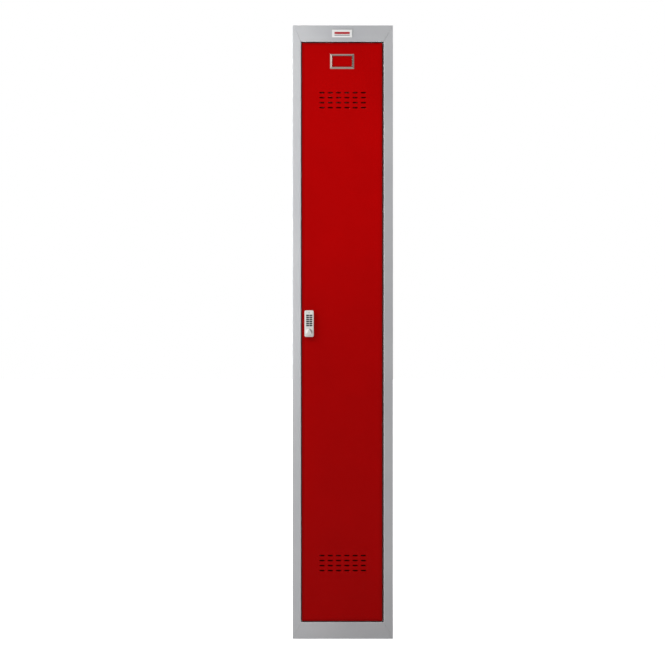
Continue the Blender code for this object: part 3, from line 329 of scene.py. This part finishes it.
white_abs = moulded("white_abs", 0xE6E6E5, 0xE0E0DF, roughness=(0.30, 0.42))
badge_low, badge_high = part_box("badge_plate")
badge = rounded_block("badge", badge_low, badge_high, BADGE_CORNER, BADGE_RIM, white_abs)
stand_for(badge, "badge_plate")
badge_size = badge_high - badge_low
rules = (
    ("red", 0xB01E28, 0xA81C26, 0.42, 0.70),
    ("grey", 0x7C7C7E, 0x767678, 0.22, 0.33),
)
for colour_name, colour, faded_colour, bottom, top in rules:
    ink = moulded(f"{colour_name}_print", colour, faded_colour, roughness=(0.35, 0.50))
    rule_low = badge_low + Vector((RULE_INSET * badge_size.x, -RULE_PRINT, bottom * badge_size.z))
    rule_high = badge_low + Vector(((1 - RULE_INSET) * badge_size.x, RULE_PRINT, top * badge_size.z))
    rule = rounded_block(f"badge_rule_{colour_name}", rule_low, rule_high, BADGE_RIM, RULE_PRINT / 2, ink)
    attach(rule, "carcass")

# Door: a pan folded from 1 mm steel with two groups of punched slots, and a folded channel welded
# behind it as a stiffener. Both carry red powder, inside and out.
RED = 0xAB0102
RED_THICK = 0xA60102
# Darker red painted along the door's edges, as painted shade, over the width below.
RED_EDGE_SHADE = 0x890102
RED_GLOSS = 0.05
EDGE_SHADE_WIDTH = 0.009


def paint_edge_shade(material, low, high, edge_shade_colour):
    """Paints the colour darker towards the panel's edges, over a narrow band: a painted shade along its rim.
    """
    tree = material.node_tree
    shader = tree.nodes["Principled BSDF"]
    coat = shader.inputs["Base Color"].links[0].from_socket
    place = add_node(tree, "ShaderNodeTexCoord", {}).outputs["Object"]
    across = add_node(tree, "ShaderNodeVectorMath", {0: place, 1: (low + high) / 2}, operation="SUBTRACT")
    reach = add_node(tree, "ShaderNodeVectorMath", {0: across.outputs[0]}, operation="ABSOLUTE")
    from_edge = {0: (high - low) / 2, 1: reach.outputs[0]}
    inset = add_node(tree, "ShaderNodeVectorMath", from_edge, operation="SUBTRACT")
    sides = add_node(tree, "ShaderNodeSeparateXYZ", {"Vector": inset.outputs[0]})
    either = {0: sides.outputs["X"], 1: sides.outputs["Z"]}
    nearest = add_node(tree, "ShaderNodeMath", either, operation="MINIMUM")
    inwards = add_node(tree, "ShaderNodeMapRange", {"Value": nearest.outputs[0], "From Max": EDGE_SHADE_WIDTH})
    colours = {"Factor": inwards.outputs[0], MIX_FROM: linear(edge_shade_colour), MIX_TO: coat}
    shaded_edge = add_node(tree, "ShaderNodeMix", colours, data_type="RGBA")
    tree.links.new(shaded_edge.outputs[MIX_RESULT], shader.inputs["Base Color"])


red_powder_coat = powder_coat("red_powder_coat", RED, RED_THICK, gloss=RED_GLOSS)
for sheet in ("door_panel", "door_stiffener"):
    deburred(sheet, red_powder_coat, SHEET_EDGE)
door_low, door_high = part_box("door_panel")
# Painted shade: the door's red darkens towards its edges.
paint_edge_shade(red_powder_coat, door_low, door_high, RED_EDGE_SHADE)

# Card holder: a frame pressed from thin steel and nickel plated, with sloping flanks and a flat crest.
# Two tabs pass through the door and are bent over behind it. A card slides in from above, through a slit
# between the frame and the door.
HOLDER_SHEET = 0.0007
HOLDER_WIDTH = 0.072
HOLDER_HEIGHT = 0.045
HOLDER_BAR = 0.0065
HOLDER_FLANK = 0.0053
HOLDER_FOOT = 0.00045
HOLDER_RISE = 0.00345
HOLDER_BEND = 0.0004
CARD_WIDTH = 0.064
CARD_SLIT = 0.0009
DOOR_SHEET = 0.001
TOUCH_GAP = 0.0003
TAB_WIDTH = 0.010
TAB_INSET = 0.0024
TAB_ROOT = 0.0014
TAB_FOOT = 0.005
POLISH_LENGTH = 0.030
POLISH_WIDTH = 0.0008


def nickel_plate(name):
    """Bright nickel over polished steel: warm silver, with fine streaks left by the polishing belt.
    The streaks are 0.1 mm wide, and drawn at 0.8 mm to show."""
    material, tree, shader, place = blank_finish(name, Metallic=1.0)
    stretch = {"Vector": place, "Scale": (1 / POLISH_LENGTH, 1 / POLISH_WIDTH, 1 / POLISH_WIDTH)}
    belt = add_node(tree, "ShaderNodeMapping", stretch)
    streaks = add_node(tree, "ShaderNodeTexNoise", {"Vector": belt.outputs[0], "Scale": 1.0, "Detail": 3.0})
    colours = {"Factor": streaks.outputs[0], MIX_FROM: linear(0xBBA8A0), MIX_TO: linear(0xB09D95)}
    plating = add_node(tree, "ShaderNodeMix", colours, data_type="RGBA")
    tree.links.new(plating.outputs[MIX_RESULT], shader.inputs["Base Color"])
    sheen = {"Value": streaks.outputs[0], "To Min": 0.12, "To Max": 0.20}
    tree.links.new(add_node(tree, "ShaderNodeMapRange", sheen).outputs[0], shader.inputs["Roughness"])
    return material


def combine(piece, operation, others):
    """Cuts other pieces out of a piece, or joins them to it, and removes them."""
    for other in others:
        step = piece.modifiers.new(other.name, "BOOLEAN")
        step.operation = operation
        step.object = other
    settle(piece)
    for other in others:
        bpy.data.objects.remove(other)


def drawn_out(name, corners, reach, material, taper=1.0):
    """Closed prism on a flat outline, which can taper towards its far end."""
    bm = bmesh.new()
    near_end = bm.faces.new([bm.verts.new(corner) for corner in corners])
    drawn = bmesh.ops.extrude_face_region(bm, geom=[near_end])["geom"]
    far_end = [part for part in drawn if isinstance(part, bmesh.types.BMVert)]
    bmesh.ops.translate(bm, vec=reach, verts=far_end)
    middle = sum((corner.co for corner in far_end), Vector()) / len(far_end)
    bmesh.ops.scale(bm, vec=(taper, taper, taper), space=Matrix.Translation(-middle), verts=far_end)
    bmesh.ops.recalc_face_normals(bm, faces=bm.faces)
    return add_piece(name, bm, material)


def holder_loop(bm, centre, inwards, rise):
    """Four corners of the frame's outline, moved in from its edge and out from the door."""
    half_x, half_z = HOLDER_WIDTH / 2 - inwards, HOLDER_HEIGHT / 2 - inwards
    corners = ((-half_x, -half_z), (half_x, -half_z), (half_x, half_z), (-half_x, half_z))
    return [bm.verts.new(centre + Vector((x, -rise, z))) for x, z in corners]


nickel = nickel_plate("bright_nickel_plate")
holder_low, holder_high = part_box("card_holder")
holder_centre = (holder_low + holder_high) / 2
holder_centre.y = door_low.y - TOUCH_GAP
flank_slope = (HOLDER_RISE - HOLDER_FOOT) / HOLDER_FLANK
flank_depth = HOLDER_SHEET * math.hypot(1, flank_slope)
under_crest = HOLDER_RISE - HOLDER_SHEET
lip_end = under_crest - HOLDER_SHEET
bent_face = [(0.0, HOLDER_FOOT), (HOLDER_FLANK, HOLDER_RISE), (HOLDER_BAR, HOLDER_RISE)]
cut_face = [
    (HOLDER_BAR, lip_end),
    (HOLDER_BAR - HOLDER_SHEET, lip_end),
    (HOLDER_BAR - HOLDER_SHEET, under_crest),
    ((under_crest - HOLDER_FOOT + flank_depth) / flank_slope, under_crest),
    ((flank_depth - HOLDER_FOOT) / flank_slope, 0.0),
    (0.0, 0.0),
]
pressing = bmesh.new()
loops = [holder_loop(pressing, holder_centre, *spot) for spot in bent_face + cut_face]
for outer, inner in zip(loops, loops[1:] + loops[:1]):
    for side in range(4):
        after = (side + 1) % 4
        pressing.faces.new((outer[side], outer[after], inner[after], inner[side]))
bmesh.ops.recalc_face_normals(pressing, faces=pressing.faces)
# The frame's outer bends and its four mitred corners are rounded. Its cut edges and hidden bends aren't.
sharp_rings = [set(loop) for loop in loops[len(bent_face):]]
bends = [e for e in pressing.edges if not any(ring.issuperset(e.verts) for ring in sharp_rings)]
bmesh.ops.bevel(pressing, geom=bends, offset=HOLDER_BEND, segments=3, profile=0.5, affect="EDGES")
card_holder = add_piece("card_holder_pressing", pressing, nickel)
tab_root = holder_centre.y - TAB_ROOT
tab_front = door_low.y + DOOR_SHEET + TOUCH_GAP
tab_back = tab_front + HOLDER_SHEET
tab_low = holder_centre.z - TAB_WIDTH / 2
tabs = []
for side_name, side in (("left", -1), ("right", 1)):
    stem_x = holder_centre.x + side * (HOLDER_WIDTH / 2 - TAB_INSET)
    inside, outside = stem_x - side * HOLDER_SHEET / 2, stem_x + side * HOLDER_SHEET / 2
    tab_end = stem_x + side * TAB_FOOT
    strap = (
        (inside, tab_root),
        (outside, tab_root),
        (outside, tab_front),
        (tab_end, tab_front),
        (tab_end, tab_back),
        (inside, tab_back),
    )
    corners = [(x, y, tab_low) for x, y in strap]
    tabs.append(drawn_out(f"holder_tab_{side_name}", corners, (0, 0, TAB_WIDTH), nickel))
combine(card_holder, "UNION", tabs)
slit_half = CARD_WIDTH / 2
slit_outline = (
    (-slit_half, -CARD_SLIT),
    (slit_half, -CARD_SLIT),
    (slit_half, TOUCH_GAP),
    (-slit_half, TOUCH_GAP),
)
corners = [holder_centre + Vector((x, y, 0)) for x, y in slit_outline]
combine(card_holder, "DIFFERENCE", [drawn_out("card_slit", corners, (0, 0, HOLDER_HEIGHT), nickel)])
keep_flats_flat(card_holder)
stand_for(card_holder, "card_holder")

# Lock, behind the door and under its cover: base plate, nut, cam, spindle, and the solenoid with its
# plunger. Steel stampings and turnings, deburred and zinc plated. The spindle's square end leaves only a
# narrow shoulder, so its edges are broken less.
SPINDLE_EDGE = 0.00006

for node in ("lock_base_plate", "lock_nut", "lock_cam", "solenoid", "lock_plunger"):
    deburred(node, zinc, TURNED_EDGE)
deburred("lock_spindle", zinc, SPINDLE_EDGE)

# Screws that hold the lock and the cam: zinc plated pan heads, with a tapering cross recess that a punch
# presses into them.
RECESS_LENGTH = 0.0054
RECESS_WIDTH = 0.0014
RECESS_DEPTH = 0.0014
RECESS_TAPER = 0.6


def cross_punch(name, head, material):
    """Cross that tapers into a screw's head, from as far outside the head as it goes in."""
    long, short = RECESS_LENGTH / 2, RECESS_WIDTH / 2
    outline = []
    for quarter in range(4):
        turn = Matrix.Rotation(quarter * math.pi / 2, 3, "Y")
        arm = ((long, short), (long, -short), (short, -short))
        outline += [head + turn @ Vector((x, RECESS_DEPTH, z)) for x, z in arm]
    return drawn_out(name, outline, (0, -2 * RECESS_DEPTH, 0), material, taper=RECESS_TAPER)


for node in ("lock_fixing_screw", "cam_screw"):
    screw = broken_edges(node, zinc, TURNED_EDGE)
    screw_low, screw_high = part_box(node)
    head = Vector(((screw_low.x + screw_high.x) / 2, screw_high.y, (screw_low.z + screw_high.z) / 2))
    combine(screw, "DIFFERENCE", [cross_punch(f"{node}_punch", head, zinc)])
    keep_flats_flat(screw)
    stand_for(screw, node)

# Barrel of the lock: a tube turned from steel and zinc plated, with a flange in front and a thread for the
# nut that holds it from behind the door. Its thread is drawn as rings.
BARREL_RADIUS = 0.008
BARREL_FLANGE = 0.002
BARREL_BORE = 0.0043
THREAD_PITCH = 0.001
THREAD_DEPTH = 0.0005
TURN_STEPS = 64

knob_axis = Vector(next(joint["pos_m"] for joint in frame["joints"] if joint["name"] == "knob_turn"))


def turned(name, outline, material):
    """Shape turned on the axis of the knob, from an outline of radius and distance out from the door."""
    bm = bmesh.new()
    spots = [bm.verts.new(knob_axis + Vector((radius, -out, 0))) for radius, out in outline]
    edges = [bm.edges.new(pair) for pair in zip(spots, spots[1:])]
    whole_turn = {"cent": knob_axis, "axis": (0, 1, 0), "angle": math.tau, "steps": TURN_STEPS}
    bmesh.ops.spin(bm, geom=spots + edges, **whole_turn)
    bmesh.ops.remove_doubles(bm, verts=bm.verts, dist=WELD_DISTANCE)
    bmesh.ops.recalc_face_normals(bm, faces=bm.faces)
    return add_piece(name, bm, material)


barrel_low, barrel_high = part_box("lock_barrel")
barrel_front, barrel_end = knob_axis.y - barrel_low.y, knob_axis.y - barrel_high.y
flange_back = barrel_front - BARREL_FLANGE
thread_start = -DOOR_SHEET
thread = []
for turn in range(math.floor((thread_start - barrel_end) / THREAD_PITCH)):
    crest = thread_start - turn * THREAD_PITCH
    thread += [(BARREL_RADIUS, crest), (BARREL_RADIUS - THREAD_DEPTH, crest - THREAD_PITCH / 2)]
flange_radius = BARREL_RADIUS + BARREL_FLANGE
barrel_outline = [
    (BARREL_BORE, barrel_front),
    (flange_radius - TURNED_EDGE, barrel_front),
    (flange_radius, barrel_front - TURNED_EDGE),
    (flange_radius, flange_back),
    (BARREL_RADIUS, flange_back),
    *thread,
    (BARREL_RADIUS - THREAD_DEPTH, barrel_end),
    (BARREL_BORE, barrel_end),
    (BARREL_BORE, barrel_front),
]
stand_for(turned("lock_barrel_turned", barrel_outline, zinc), "lock_barrel")

# Inside the lock: two AAA cells in printed sleeves, a lacquered circuit board, and a mat moulded in rubber
# that lies on the board and springs the keys.
SLEEVE_BAND = 0.008
SLEEVE_EDGE = 0.0002
CELL_NUB = 0.001
TRACK_PITCH = 0.0025


def shrink_sleeve(name, top):
    """Printed shrink sleeve of a cell: glossy grey film with a pale band round its top end. Only the nub at
    the very top is bare steel."""
    material, tree, shader, place = blank_finish(name, IOR=1.5, Roughness=0.25)
    height = add_node(tree, "ShaderNodeSeparateXYZ", {"Vector": place}).outputs["Z"]
    colour = linear(0x4B4F56)
    for start, upper_colour in ((top - SLEEVE_BAND, 0xC6C9CD), (top - CELL_NUB, 0xB9BDC1)):
        edge = {"Value": height, "From Min": start, "From Max": start + SLEEVE_EDGE}
        above = add_node(tree, "ShaderNodeMapRange", edge).outputs[0]
        colours = {"Factor": above, MIX_FROM: colour, MIX_TO: linear(upper_colour)}
        colour = add_node(tree, "ShaderNodeMix", colours, data_type="RGBA").outputs[MIX_RESULT]
    tree.links.new(colour, shader.inputs["Base Color"])
    tree.links.new(above, shader.inputs["Metallic"])
    return material


def solder_mask(name):
    """Circuit board: satin green lacquer, paler where it runs over the copper tracks."""
    material, tree, shader, place = blank_finish(name, IOR=1.5, Roughness=0.35)
    tracks = {
        "Vector": place,
        "Scale": 1 / TRACK_PITCH,
        "Color1": linear(0x1E6B3A),
        "Color2": linear(0x1A5F34),
        "Mortar": linear(0x2F8A50),
        "Mortar Size": 0.06,
    }
    lacquer = add_node(tree, "ShaderNodeTexBrick", tracks)
    tree.links.new(lacquer.outputs[0], shader.inputs["Base Color"])
    return material


cell_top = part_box("cell_left")[1].z
sleeve = shrink_sleeve("cell_shrink_sleeve", cell_top)
for node in ("cell_left", "cell_right"):
    deburred(node, sleeve, TURNED_EDGE)
deburred("circuit_board", solder_mask("green_solder_mask"), TURNED_EDGE)
deburred("key_mat", rubber, TURNED_EDGE)

# Cover of the lock: a zinc die casting with a soft rounded rim, open behind, sprayed with silver lacquer.
# It has a shallow field for the keypad, a window for each key and holes for the spindle and the light.
COVER_WALL = 0.0016
COVER_CORNER = 0.0045
COVER_RIM = 0.0032
FIELD_DEPTH = 0.0004
FIELD_MARGIN = 0.00105
FIELD_CORNER = 0.0015
FIELD_ABOVE_LIGHT = 0.0020
WINDOW_GAP = 0.0003
KEY_FLANGE = 0.0006
WINDOW_CORNER = 0.0006
WINDOW_EDGE = 0.0002
SPINDLE_HOLE = 0.0043
FLAKE = 0.0006
FLAKE_TILT = 0.00002
KEY_NAMES = ("1", "2", "3", "4", "5", "6", "7", "8", "9", "0", "clear", "enter")


def silver_lacquer(name, shine, roughness):
    """Silver lacquer: pale grey, more or less metallic, with aluminium flakes that differ in shade and tilt.
    A flake is 0.03 mm wide, and drawn at 0.6 mm to show."""
    material, tree, shader, place = blank_finish(name, Metallic=shine)
    flakes = add_node(tree, "ShaderNodeTexVoronoi", {"Vector": place, "Scale": 1 / FLAKE})
    shade = add_node(tree, "ShaderNodeSeparateColor", {"Color": flakes.outputs["Color"]})
    colours = {"Factor": shade.outputs["Red"], MIX_FROM: linear(0xE4E3DF), MIX_TO: linear(0xEEEDEA)}
    lacquer = add_node(tree, "ShaderNodeMix", colours, data_type="RGBA")
    tree.links.new(lacquer.outputs[MIX_RESULT], shader.inputs["Base Color"])
    sheen = {"Value": shade.outputs["Green"], "To Min": roughness[0], "To Max": roughness[1]}
    tree.links.new(add_node(tree, "ShaderNodeMapRange", sheen).outputs[0], shader.inputs["Roughness"])
    tilt = {"Height": shade.outputs["Blue"], "Distance": FLAKE_TILT, "Strength": 0.4}
    tree.links.new(add_node(tree, "ShaderNodeBump", tilt).outputs[0], shader.inputs["Normal"])
    return material


def round_bar(name, radius, start, end, material):
    """Closed cylinder from one point to another."""
    bm = bmesh.new()
    span = end - start
    place = Matrix.Translation((start + end) / 2) @ span.to_track_quat("Z", "Y").to_matrix().to_4x4()
    ends = {"segments": TURN_STEPS, "radius1": radius, "radius2": radius, "depth": span.length}
    bmesh.ops.create_cone(bm, cap_ends=True, matrix=place, **ends)
    return add_piece(name, bm, material)


def round_edges(piece, width):
    """Rounds the sharp edges of a piece."""
    rounding = piece.modifiers.new("rounding", "BEVEL")
    rounding.width = width
    rounding.segments = 3
    rounding.limit_method = "ANGLE"
    rounding.angle_limit = CREASE_ANGLE
    settle(piece)


silver = silver_lacquer("silver_lacquer", shine=0.1, roughness=(0.28, 0.42))
cover_low, cover_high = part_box("lock_housing")
light_low, light_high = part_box("status_light")
cover = rounded_block("lock_cover", cover_low, cover_high, COVER_CORNER, COVER_RIM, silver)
wall = Vector((COVER_WALL, COVER_WALL, COVER_WALL))
hollow_low, hollow_high = cover_low + wall, cover_high - wall
hollow_high.y = cover_high.y + COVER_WALL
hollow = rounded_block(
    "cover_hollow", hollow_low, hollow_high, COVER_CORNER - COVER_WALL, COVER_RIM - COVER_WALL, silver
)
key_boxes = {name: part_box(f"key_{name}") for name in KEY_NAMES}
field_low = Vector((
    min(low.x for low, high in key_boxes.values()) + KEY_FLANGE - FIELD_MARGIN,
    cover_low.y - FIELD_DEPTH,
    min(low.z for low, high in key_boxes.values()) + KEY_FLANGE - FIELD_MARGIN,
))
field_high = Vector((
    max(high.x for low, high in key_boxes.values()) - KEY_FLANGE + FIELD_MARGIN,
    cover_low.y + FIELD_DEPTH,
    light_high.z + FIELD_ABOVE_LIGHT,
))
field = rounded_block("keypad_field", field_low, field_high, FIELD_CORNER, FIELD_DEPTH / 2, silver)
windows = []
for name, (low, high) in key_boxes.items():
    margin = Vector((KEY_FLANGE - WINDOW_GAP, 0, KEY_FLANGE - WINDOW_GAP))
    window_low, window_high = low + margin, high - margin
    window_low.y, window_high.y = cover_low.y - COVER_WALL, cover_low.y + 2 * COVER_WALL
    windows.append(
        rounded_block(f"window_{name}", window_low, window_high, WINDOW_CORNER, WINDOW_EDGE, silver)
    )
light_centre = (light_low + light_high) / 2
light_radius = (light_high.x - light_low.x) / 2
holes = []
for name, radius, centre in (
    ("spindle_hole", SPINDLE_HOLE, knob_axis),
    ("light_hole", light_radius + WINDOW_GAP, light_centre),
):
    through_low = Vector((centre.x, cover_low.y - COVER_WALL, centre.z))
    through_high = Vector((centre.x, cover_low.y + 2 * COVER_WALL, centre.z))
    holes.append(round_bar(name, radius, through_low, through_high, silver))
combine(cover, "DIFFERENCE", [hollow, field, *windows, *holes])
round_edges(cover, WINDOW_EDGE)
stand_for(cover, "lock_housing")

# Keys: twelve caps moulded in dark grey ABS, with rounded edges and grey figures printed on them. Each
# comes out through its window in the cover, and the mat behind springs it back.
KEY_EDGE = 0.0003
FIGURE_HEIGHT = 0.0017
FIGURE_PRINT = 0.00003
KEY_SIGNS = {"clear": "<", "enter": ">"}

dark_abs = moulded("dark_grey_abs", 0x1F2023, 0x26272B, roughness=(0.35, 0.50))
key_ink = moulded("grey_key_print", 0x8C8C8A, 0x848482, roughness=(0.45, 0.60))


def printed_figure(name, sign, centre, material):
    """Flat printed figure, facing out from the door."""
    text = bpy.data.curves.new(name, "FONT")
    text.body = sign
    text.size = FIGURE_HEIGHT
    text.align_x = "CENTER"
    text.align_y = "CENTER"
    text.extrude = FIGURE_PRINT
    shape = bpy.data.objects.new(name, text)
    bpy.context.scene.collection.objects.link(shape)
    graph = bpy.context.evaluated_depsgraph_get()
    bm = bmesh.new()
    bm.from_mesh(shape.evaluated_get(graph).to_mesh())
    bpy.data.objects.remove(shape)
    bmesh.ops.remove_doubles(bm, verts=bm.verts, dist=WELD_DISTANCE)
    bm.transform(Matrix.Translation(centre) @ Matrix.Rotation(math.pi / 2, 4, "X"))
    return add_piece(name, bm, material)


for name, (low, high) in key_boxes.items():
    deburred(f"key_{name}", dark_abs, KEY_EDGE)
    face = Vector(((low.x + high.x) / 2, low.y, (low.z + high.z) / 2))
    figure = printed_figure(f"figure_{name}", KEY_SIGNS.get(name, name), face, key_ink)
    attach(figure, f"button_{name}")

# Status light: a small lens, moulded in clear acrylic with a domed front and pushed into its hole in the
# cover. A lamp on the board can light it up green.
LENS_DOME = 0.0008

clear_acrylic = moulded("clear_acrylic", 0xDCE6DE, 0xD3DFD6, roughness=(0.08, 0.14))
deburred("status_light", clear_acrylic, LENS_DOME)

# Knob: a zinc die casting, pressed on the spindle, in the same lacquer with more flake and polished bright.
# Its front falls back towards the bottom, and a flank on either side runs down from a ridge.
KNOB_EDGE = 0.0005
KNOB_RIM = 0.0008
KNOB_BASE = 0.003
KNOB_RIDGE = 0.002
KNOB_FALL = 0.0053
KNOB_SOCKET = 0.0032


def facet_block(name, size, spots, material):
    """Block that lies in front of the plane through three points, to cut a flat face."""
    first, second, third = spots
    outwards = (second - first).cross(third - first).normalized()
    if outwards.y > 0:
        outwards.negate()
    turn = outwards.to_track_quat("Z", "Y").to_matrix().to_4x4()
    bm = bmesh.new()
    bmesh.ops.create_cube(bm, size=size, matrix=Matrix.Translation(first + outwards * size / 2) @ turn)
    return add_piece(name, bm, material)


bright_silver = silver_lacquer("silver_lacquer_polished", shine=1.0, roughness=(0.14, 0.24))
knob_low, knob_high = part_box("lock_knob")
knob_radius = (knob_high.x - knob_low.x) / 2
knob_front, knob_back = knob_axis.y - knob_low.y, knob_axis.y - knob_high.y
knob_outline = [
    (0.0, knob_front),
    (knob_radius - KNOB_RIM, knob_front),
    (knob_radius, knob_front - KNOB_RIM),
    (knob_radius, knob_back),
    (SPINDLE_HOLE, knob_back),
    (SPINDLE_HOLE, knob_back + KNOB_SOCKET),
    (0.0, knob_back + KNOB_SOCKET),
]
knob = turned("lock_knob_cast", knob_outline, bright_silver)
knob_foot = knob_front - KNOB_FALL
brow = [
    knob_axis + Vector((-knob_radius, -knob_front, knob_radius - KNOB_RIM)),
    knob_axis + Vector((knob_radius, -knob_front, knob_radius - KNOB_RIM)),
    knob_axis + Vector((knob_radius, -knob_foot, -knob_radius)),
]
facet_size = 4 * knob_radius
facets = [facet_block("knob_brow", facet_size, brow, bright_silver)]
for side_name, side in (("left", -1), ("right", 1)):
    flank = [
        knob_axis + Vector((side * KNOB_RIDGE / 2, -knob_front, knob_radius)),
        knob_axis + Vector((side * knob_radius, -knob_back - KNOB_BASE, knob_radius)),
        knob_axis + Vector((side * knob_radius, -knob_foot, -knob_radius)),
    ]
    facets.append(facet_block(f"knob_flank_{side_name}", facet_size, flank, bright_silver))
combine(knob, "DIFFERENCE", facets)
round_edges(knob, KNOB_EDGE)
stand_for(knob, "lock_knob")

# Studio: a white floor that meets a white background, and a soft room, brighter on the left and dark
# behind the camera.
FLOOR_SIZE = 60.0
FLOOR_DROP = 0.0005
FLOOR_GLOW = 0.90
ROOM_DARK = 0.03
ROOM_LEFT = 1.2
ROOM_RIGHT = 0.32

floor_coat, tree, shader = blank_finish("white_floor", Roughness=0.9)[:3]
shader.inputs["Base Color"].default_value = linear(0xF2F2F2)
shader.inputs["Emission Color"].default_value = linear(0xFFFFFF)
seen = add_node(tree, "ShaderNodeLightPath", {}).outputs["Is Camera Ray"]
glow = add_node(tree, "ShaderNodeMapRange", {"Value": seen, "To Max": FLOOR_GLOW})
tree.links.new(glow.outputs[0], shader.inputs["Emission Strength"])
ground = bmesh.new()
bmesh.ops.create_grid(ground, x_segments=1, y_segments=1, size=FLOOR_SIZE / 2)
bmesh.ops.translate(ground, vec=(0, 0, cad_box[0].z - FLOOR_DROP), verts=ground.verts)
add_piece("studio_floor", ground, floor_coat)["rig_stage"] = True

room = bpy.data.worlds.new("studio_room")
room.use_nodes = True
bpy.context.scene.world = room
tree = room.node_tree
direction = add_node(tree, "ShaderNodeTexCoord", {}).outputs["Generated"]
towards = add_node(tree, "ShaderNodeSeparateXYZ", {"Vector": direction})
sideways = {
    "Value": towards.outputs["X"],
    "From Min": -0.7,
    "From Max": 0.7,
    "To Min": ROOM_LEFT,
    "To Max": ROOM_RIGHT,
}
walls = add_node(tree, "ShaderNodeMapRange", sideways, interpolation_type="SMOOTHSTEP")
backwards = {
    "Value": towards.outputs["Y"],
    "From Min": -0.95,
    "From Max": -0.35,
    "To Min": ROOM_DARK,
    "To Max": walls.outputs[0],
}
shade = add_node(tree, "ShaderNodeMapRange", backwards, interpolation_type="SMOOTHSTEP")
seen = add_node(tree, "ShaderNodeLightPath", {}).outputs["Is Camera Ray"]
strength = add_node(tree, "ShaderNodeMapRange", {"Value": seen, "To Min": shade.outputs[0], "To Max": 1.0})
tree.links.new(strength.outputs[0], tree.nodes["Background"].inputs["Strength"])
tree.nodes["Background"].inputs["Color"].default_value = linear(0xFFFFFF)

# Lights: a softbox high on the left, two wide strips before the door that the grey frame doesn't see,
# three strips at the sides that only the grey frame sees, and a reflector on either side that only the card
# holder sees.
FRAME_SHEETS = ("left_side_panel", "right_side_panel", "top_rail", "kick_plate")
SOFTBOX_ASIDE = 2.0
SOFTBOX_OUT = 2.4
SOFTBOX_HEIGHT = 2.6
SOFTBOX_TARGET = 1.0
SOFTBOX_SIZE = 1.2
SOFTBOX_POWER = 25.0
REFLECTOR_ASIDE = 1.70
REFLECTOR_OUT = 1.02
REFLECTOR_SIZE = 0.8
REFLECTOR_POWER = 0.35


def soft_light(name, place, target, width, height, power):
    """Rectangular softbox, aimed at a point."""
    lamp = bpy.data.lights.new(name, "AREA")
    lamp.shape = "RECTANGLE"
    lamp.size = width
    lamp.size_y = height
    lamp.energy = power
    light = bpy.data.objects.new(name, lamp)
    light.location = place
    light.rotation_euler = (Vector(target) - Vector(place)).to_track_quat("-Z", "Y").to_euler()
    light.visible_camera = False
    bpy.context.scene.collection.objects.link(light)
    return light


def light_only(light, receivers):
    """Keeps a light off everything but some pieces."""
    lit = bpy.data.collections.new(f"lit_by_{light.name}")
    for piece in receivers:
        lit.objects.link(piece)
    light.light_linking.receiver_collection = lit


def strip_light(name, receivers, x, out, height, width, length, power):
    """Strip before the door that lights some pieces, and that no surface mirrors."""
    place = Vector((x, door_low.y - out, height))
    light = soft_light(name, place, (0, door_low.y, height), width, length, power)
    light.visible_glossy = False
    light.data.cycles.use_multiple_importance_sampling = False
    light_only(light, receivers)


soft_light(
    "key_softbox",
    place=(-SOFTBOX_ASIDE, door_low.y - SOFTBOX_OUT, SOFTBOX_HEIGHT),
    target=(0, door_low.y, SOFTBOX_TARGET),
    width=SOFTBOX_SIZE,
    height=SOFTBOX_SIZE,
    power=SOFTBOX_POWER,
)
frame_pieces = [carcass_pieces[sheet] for sheet in FRAME_SHEETS]
other_pieces = [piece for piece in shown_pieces() if piece not in frame_pieces]
strip_light("door_strip_high", other_pieces, x=0.0, out=0.90, height=1.50, width=1.0, length=0.40, power=4.4)
strip_light("door_strip_low", other_pieces, x=0.0, out=0.90, height=0.15, width=1.0, length=0.20, power=0.4)
strip_light(
    "frame_strip_high", frame_pieces, x=-0.442, out=0.155, height=1.368, width=0.1, length=1.302, power=4.0
)
strip_light(
    "frame_strip_low", frame_pieces, x=-0.678, out=0.575, height=0.188, width=0.1, length=0.247, power=2.9
)
strip_light(
    "frame_strip_right", frame_pieces, x=0.479, out=0.803, height=1.900, width=0.3, length=0.300, power=2.1
)
for side_name, side in (("left", -1), ("right", 1)):
    reflector = soft_light(
        f"reflector_{side_name}",
        place=(side * REFLECTOR_ASIDE, door_low.y - REFLECTOR_OUT, holder_centre.z),
        target=holder_centre,
        width=REFLECTOR_SIZE,
        height=REFLECTOR_SIZE,
        power=REFLECTOR_POWER,
    )
    light_only(reflector, [card_holder])

# Camera: a long lens, square to the door and level with the lock's knob. It stands 5.51 m away, a little to
# the left of the locker's middle.
CAMERA_LENS = 100.0
CAMERA_SENSOR = 36.0
CAMERA_DISTANCE = 5.51
CAMERA_X = -0.0304
CAMERA_HEIGHT = 0.914

camera = bpy.data.objects.new("camera", bpy.data.cameras.new("camera"))
camera.data.lens = CAMERA_LENS
camera.data.sensor_width = CAMERA_SENSOR
camera.location = (CAMERA_X, door_low.y - CAMERA_DISTANCE, CAMERA_HEIGHT)
camera.rotation_euler = (math.pi / 2, 0, 0)
bpy.context.scene.collection.objects.link(camera)
bpy.context.scene.camera = camera
bpy.context.scene.view_settings.view_transform = "Standard"
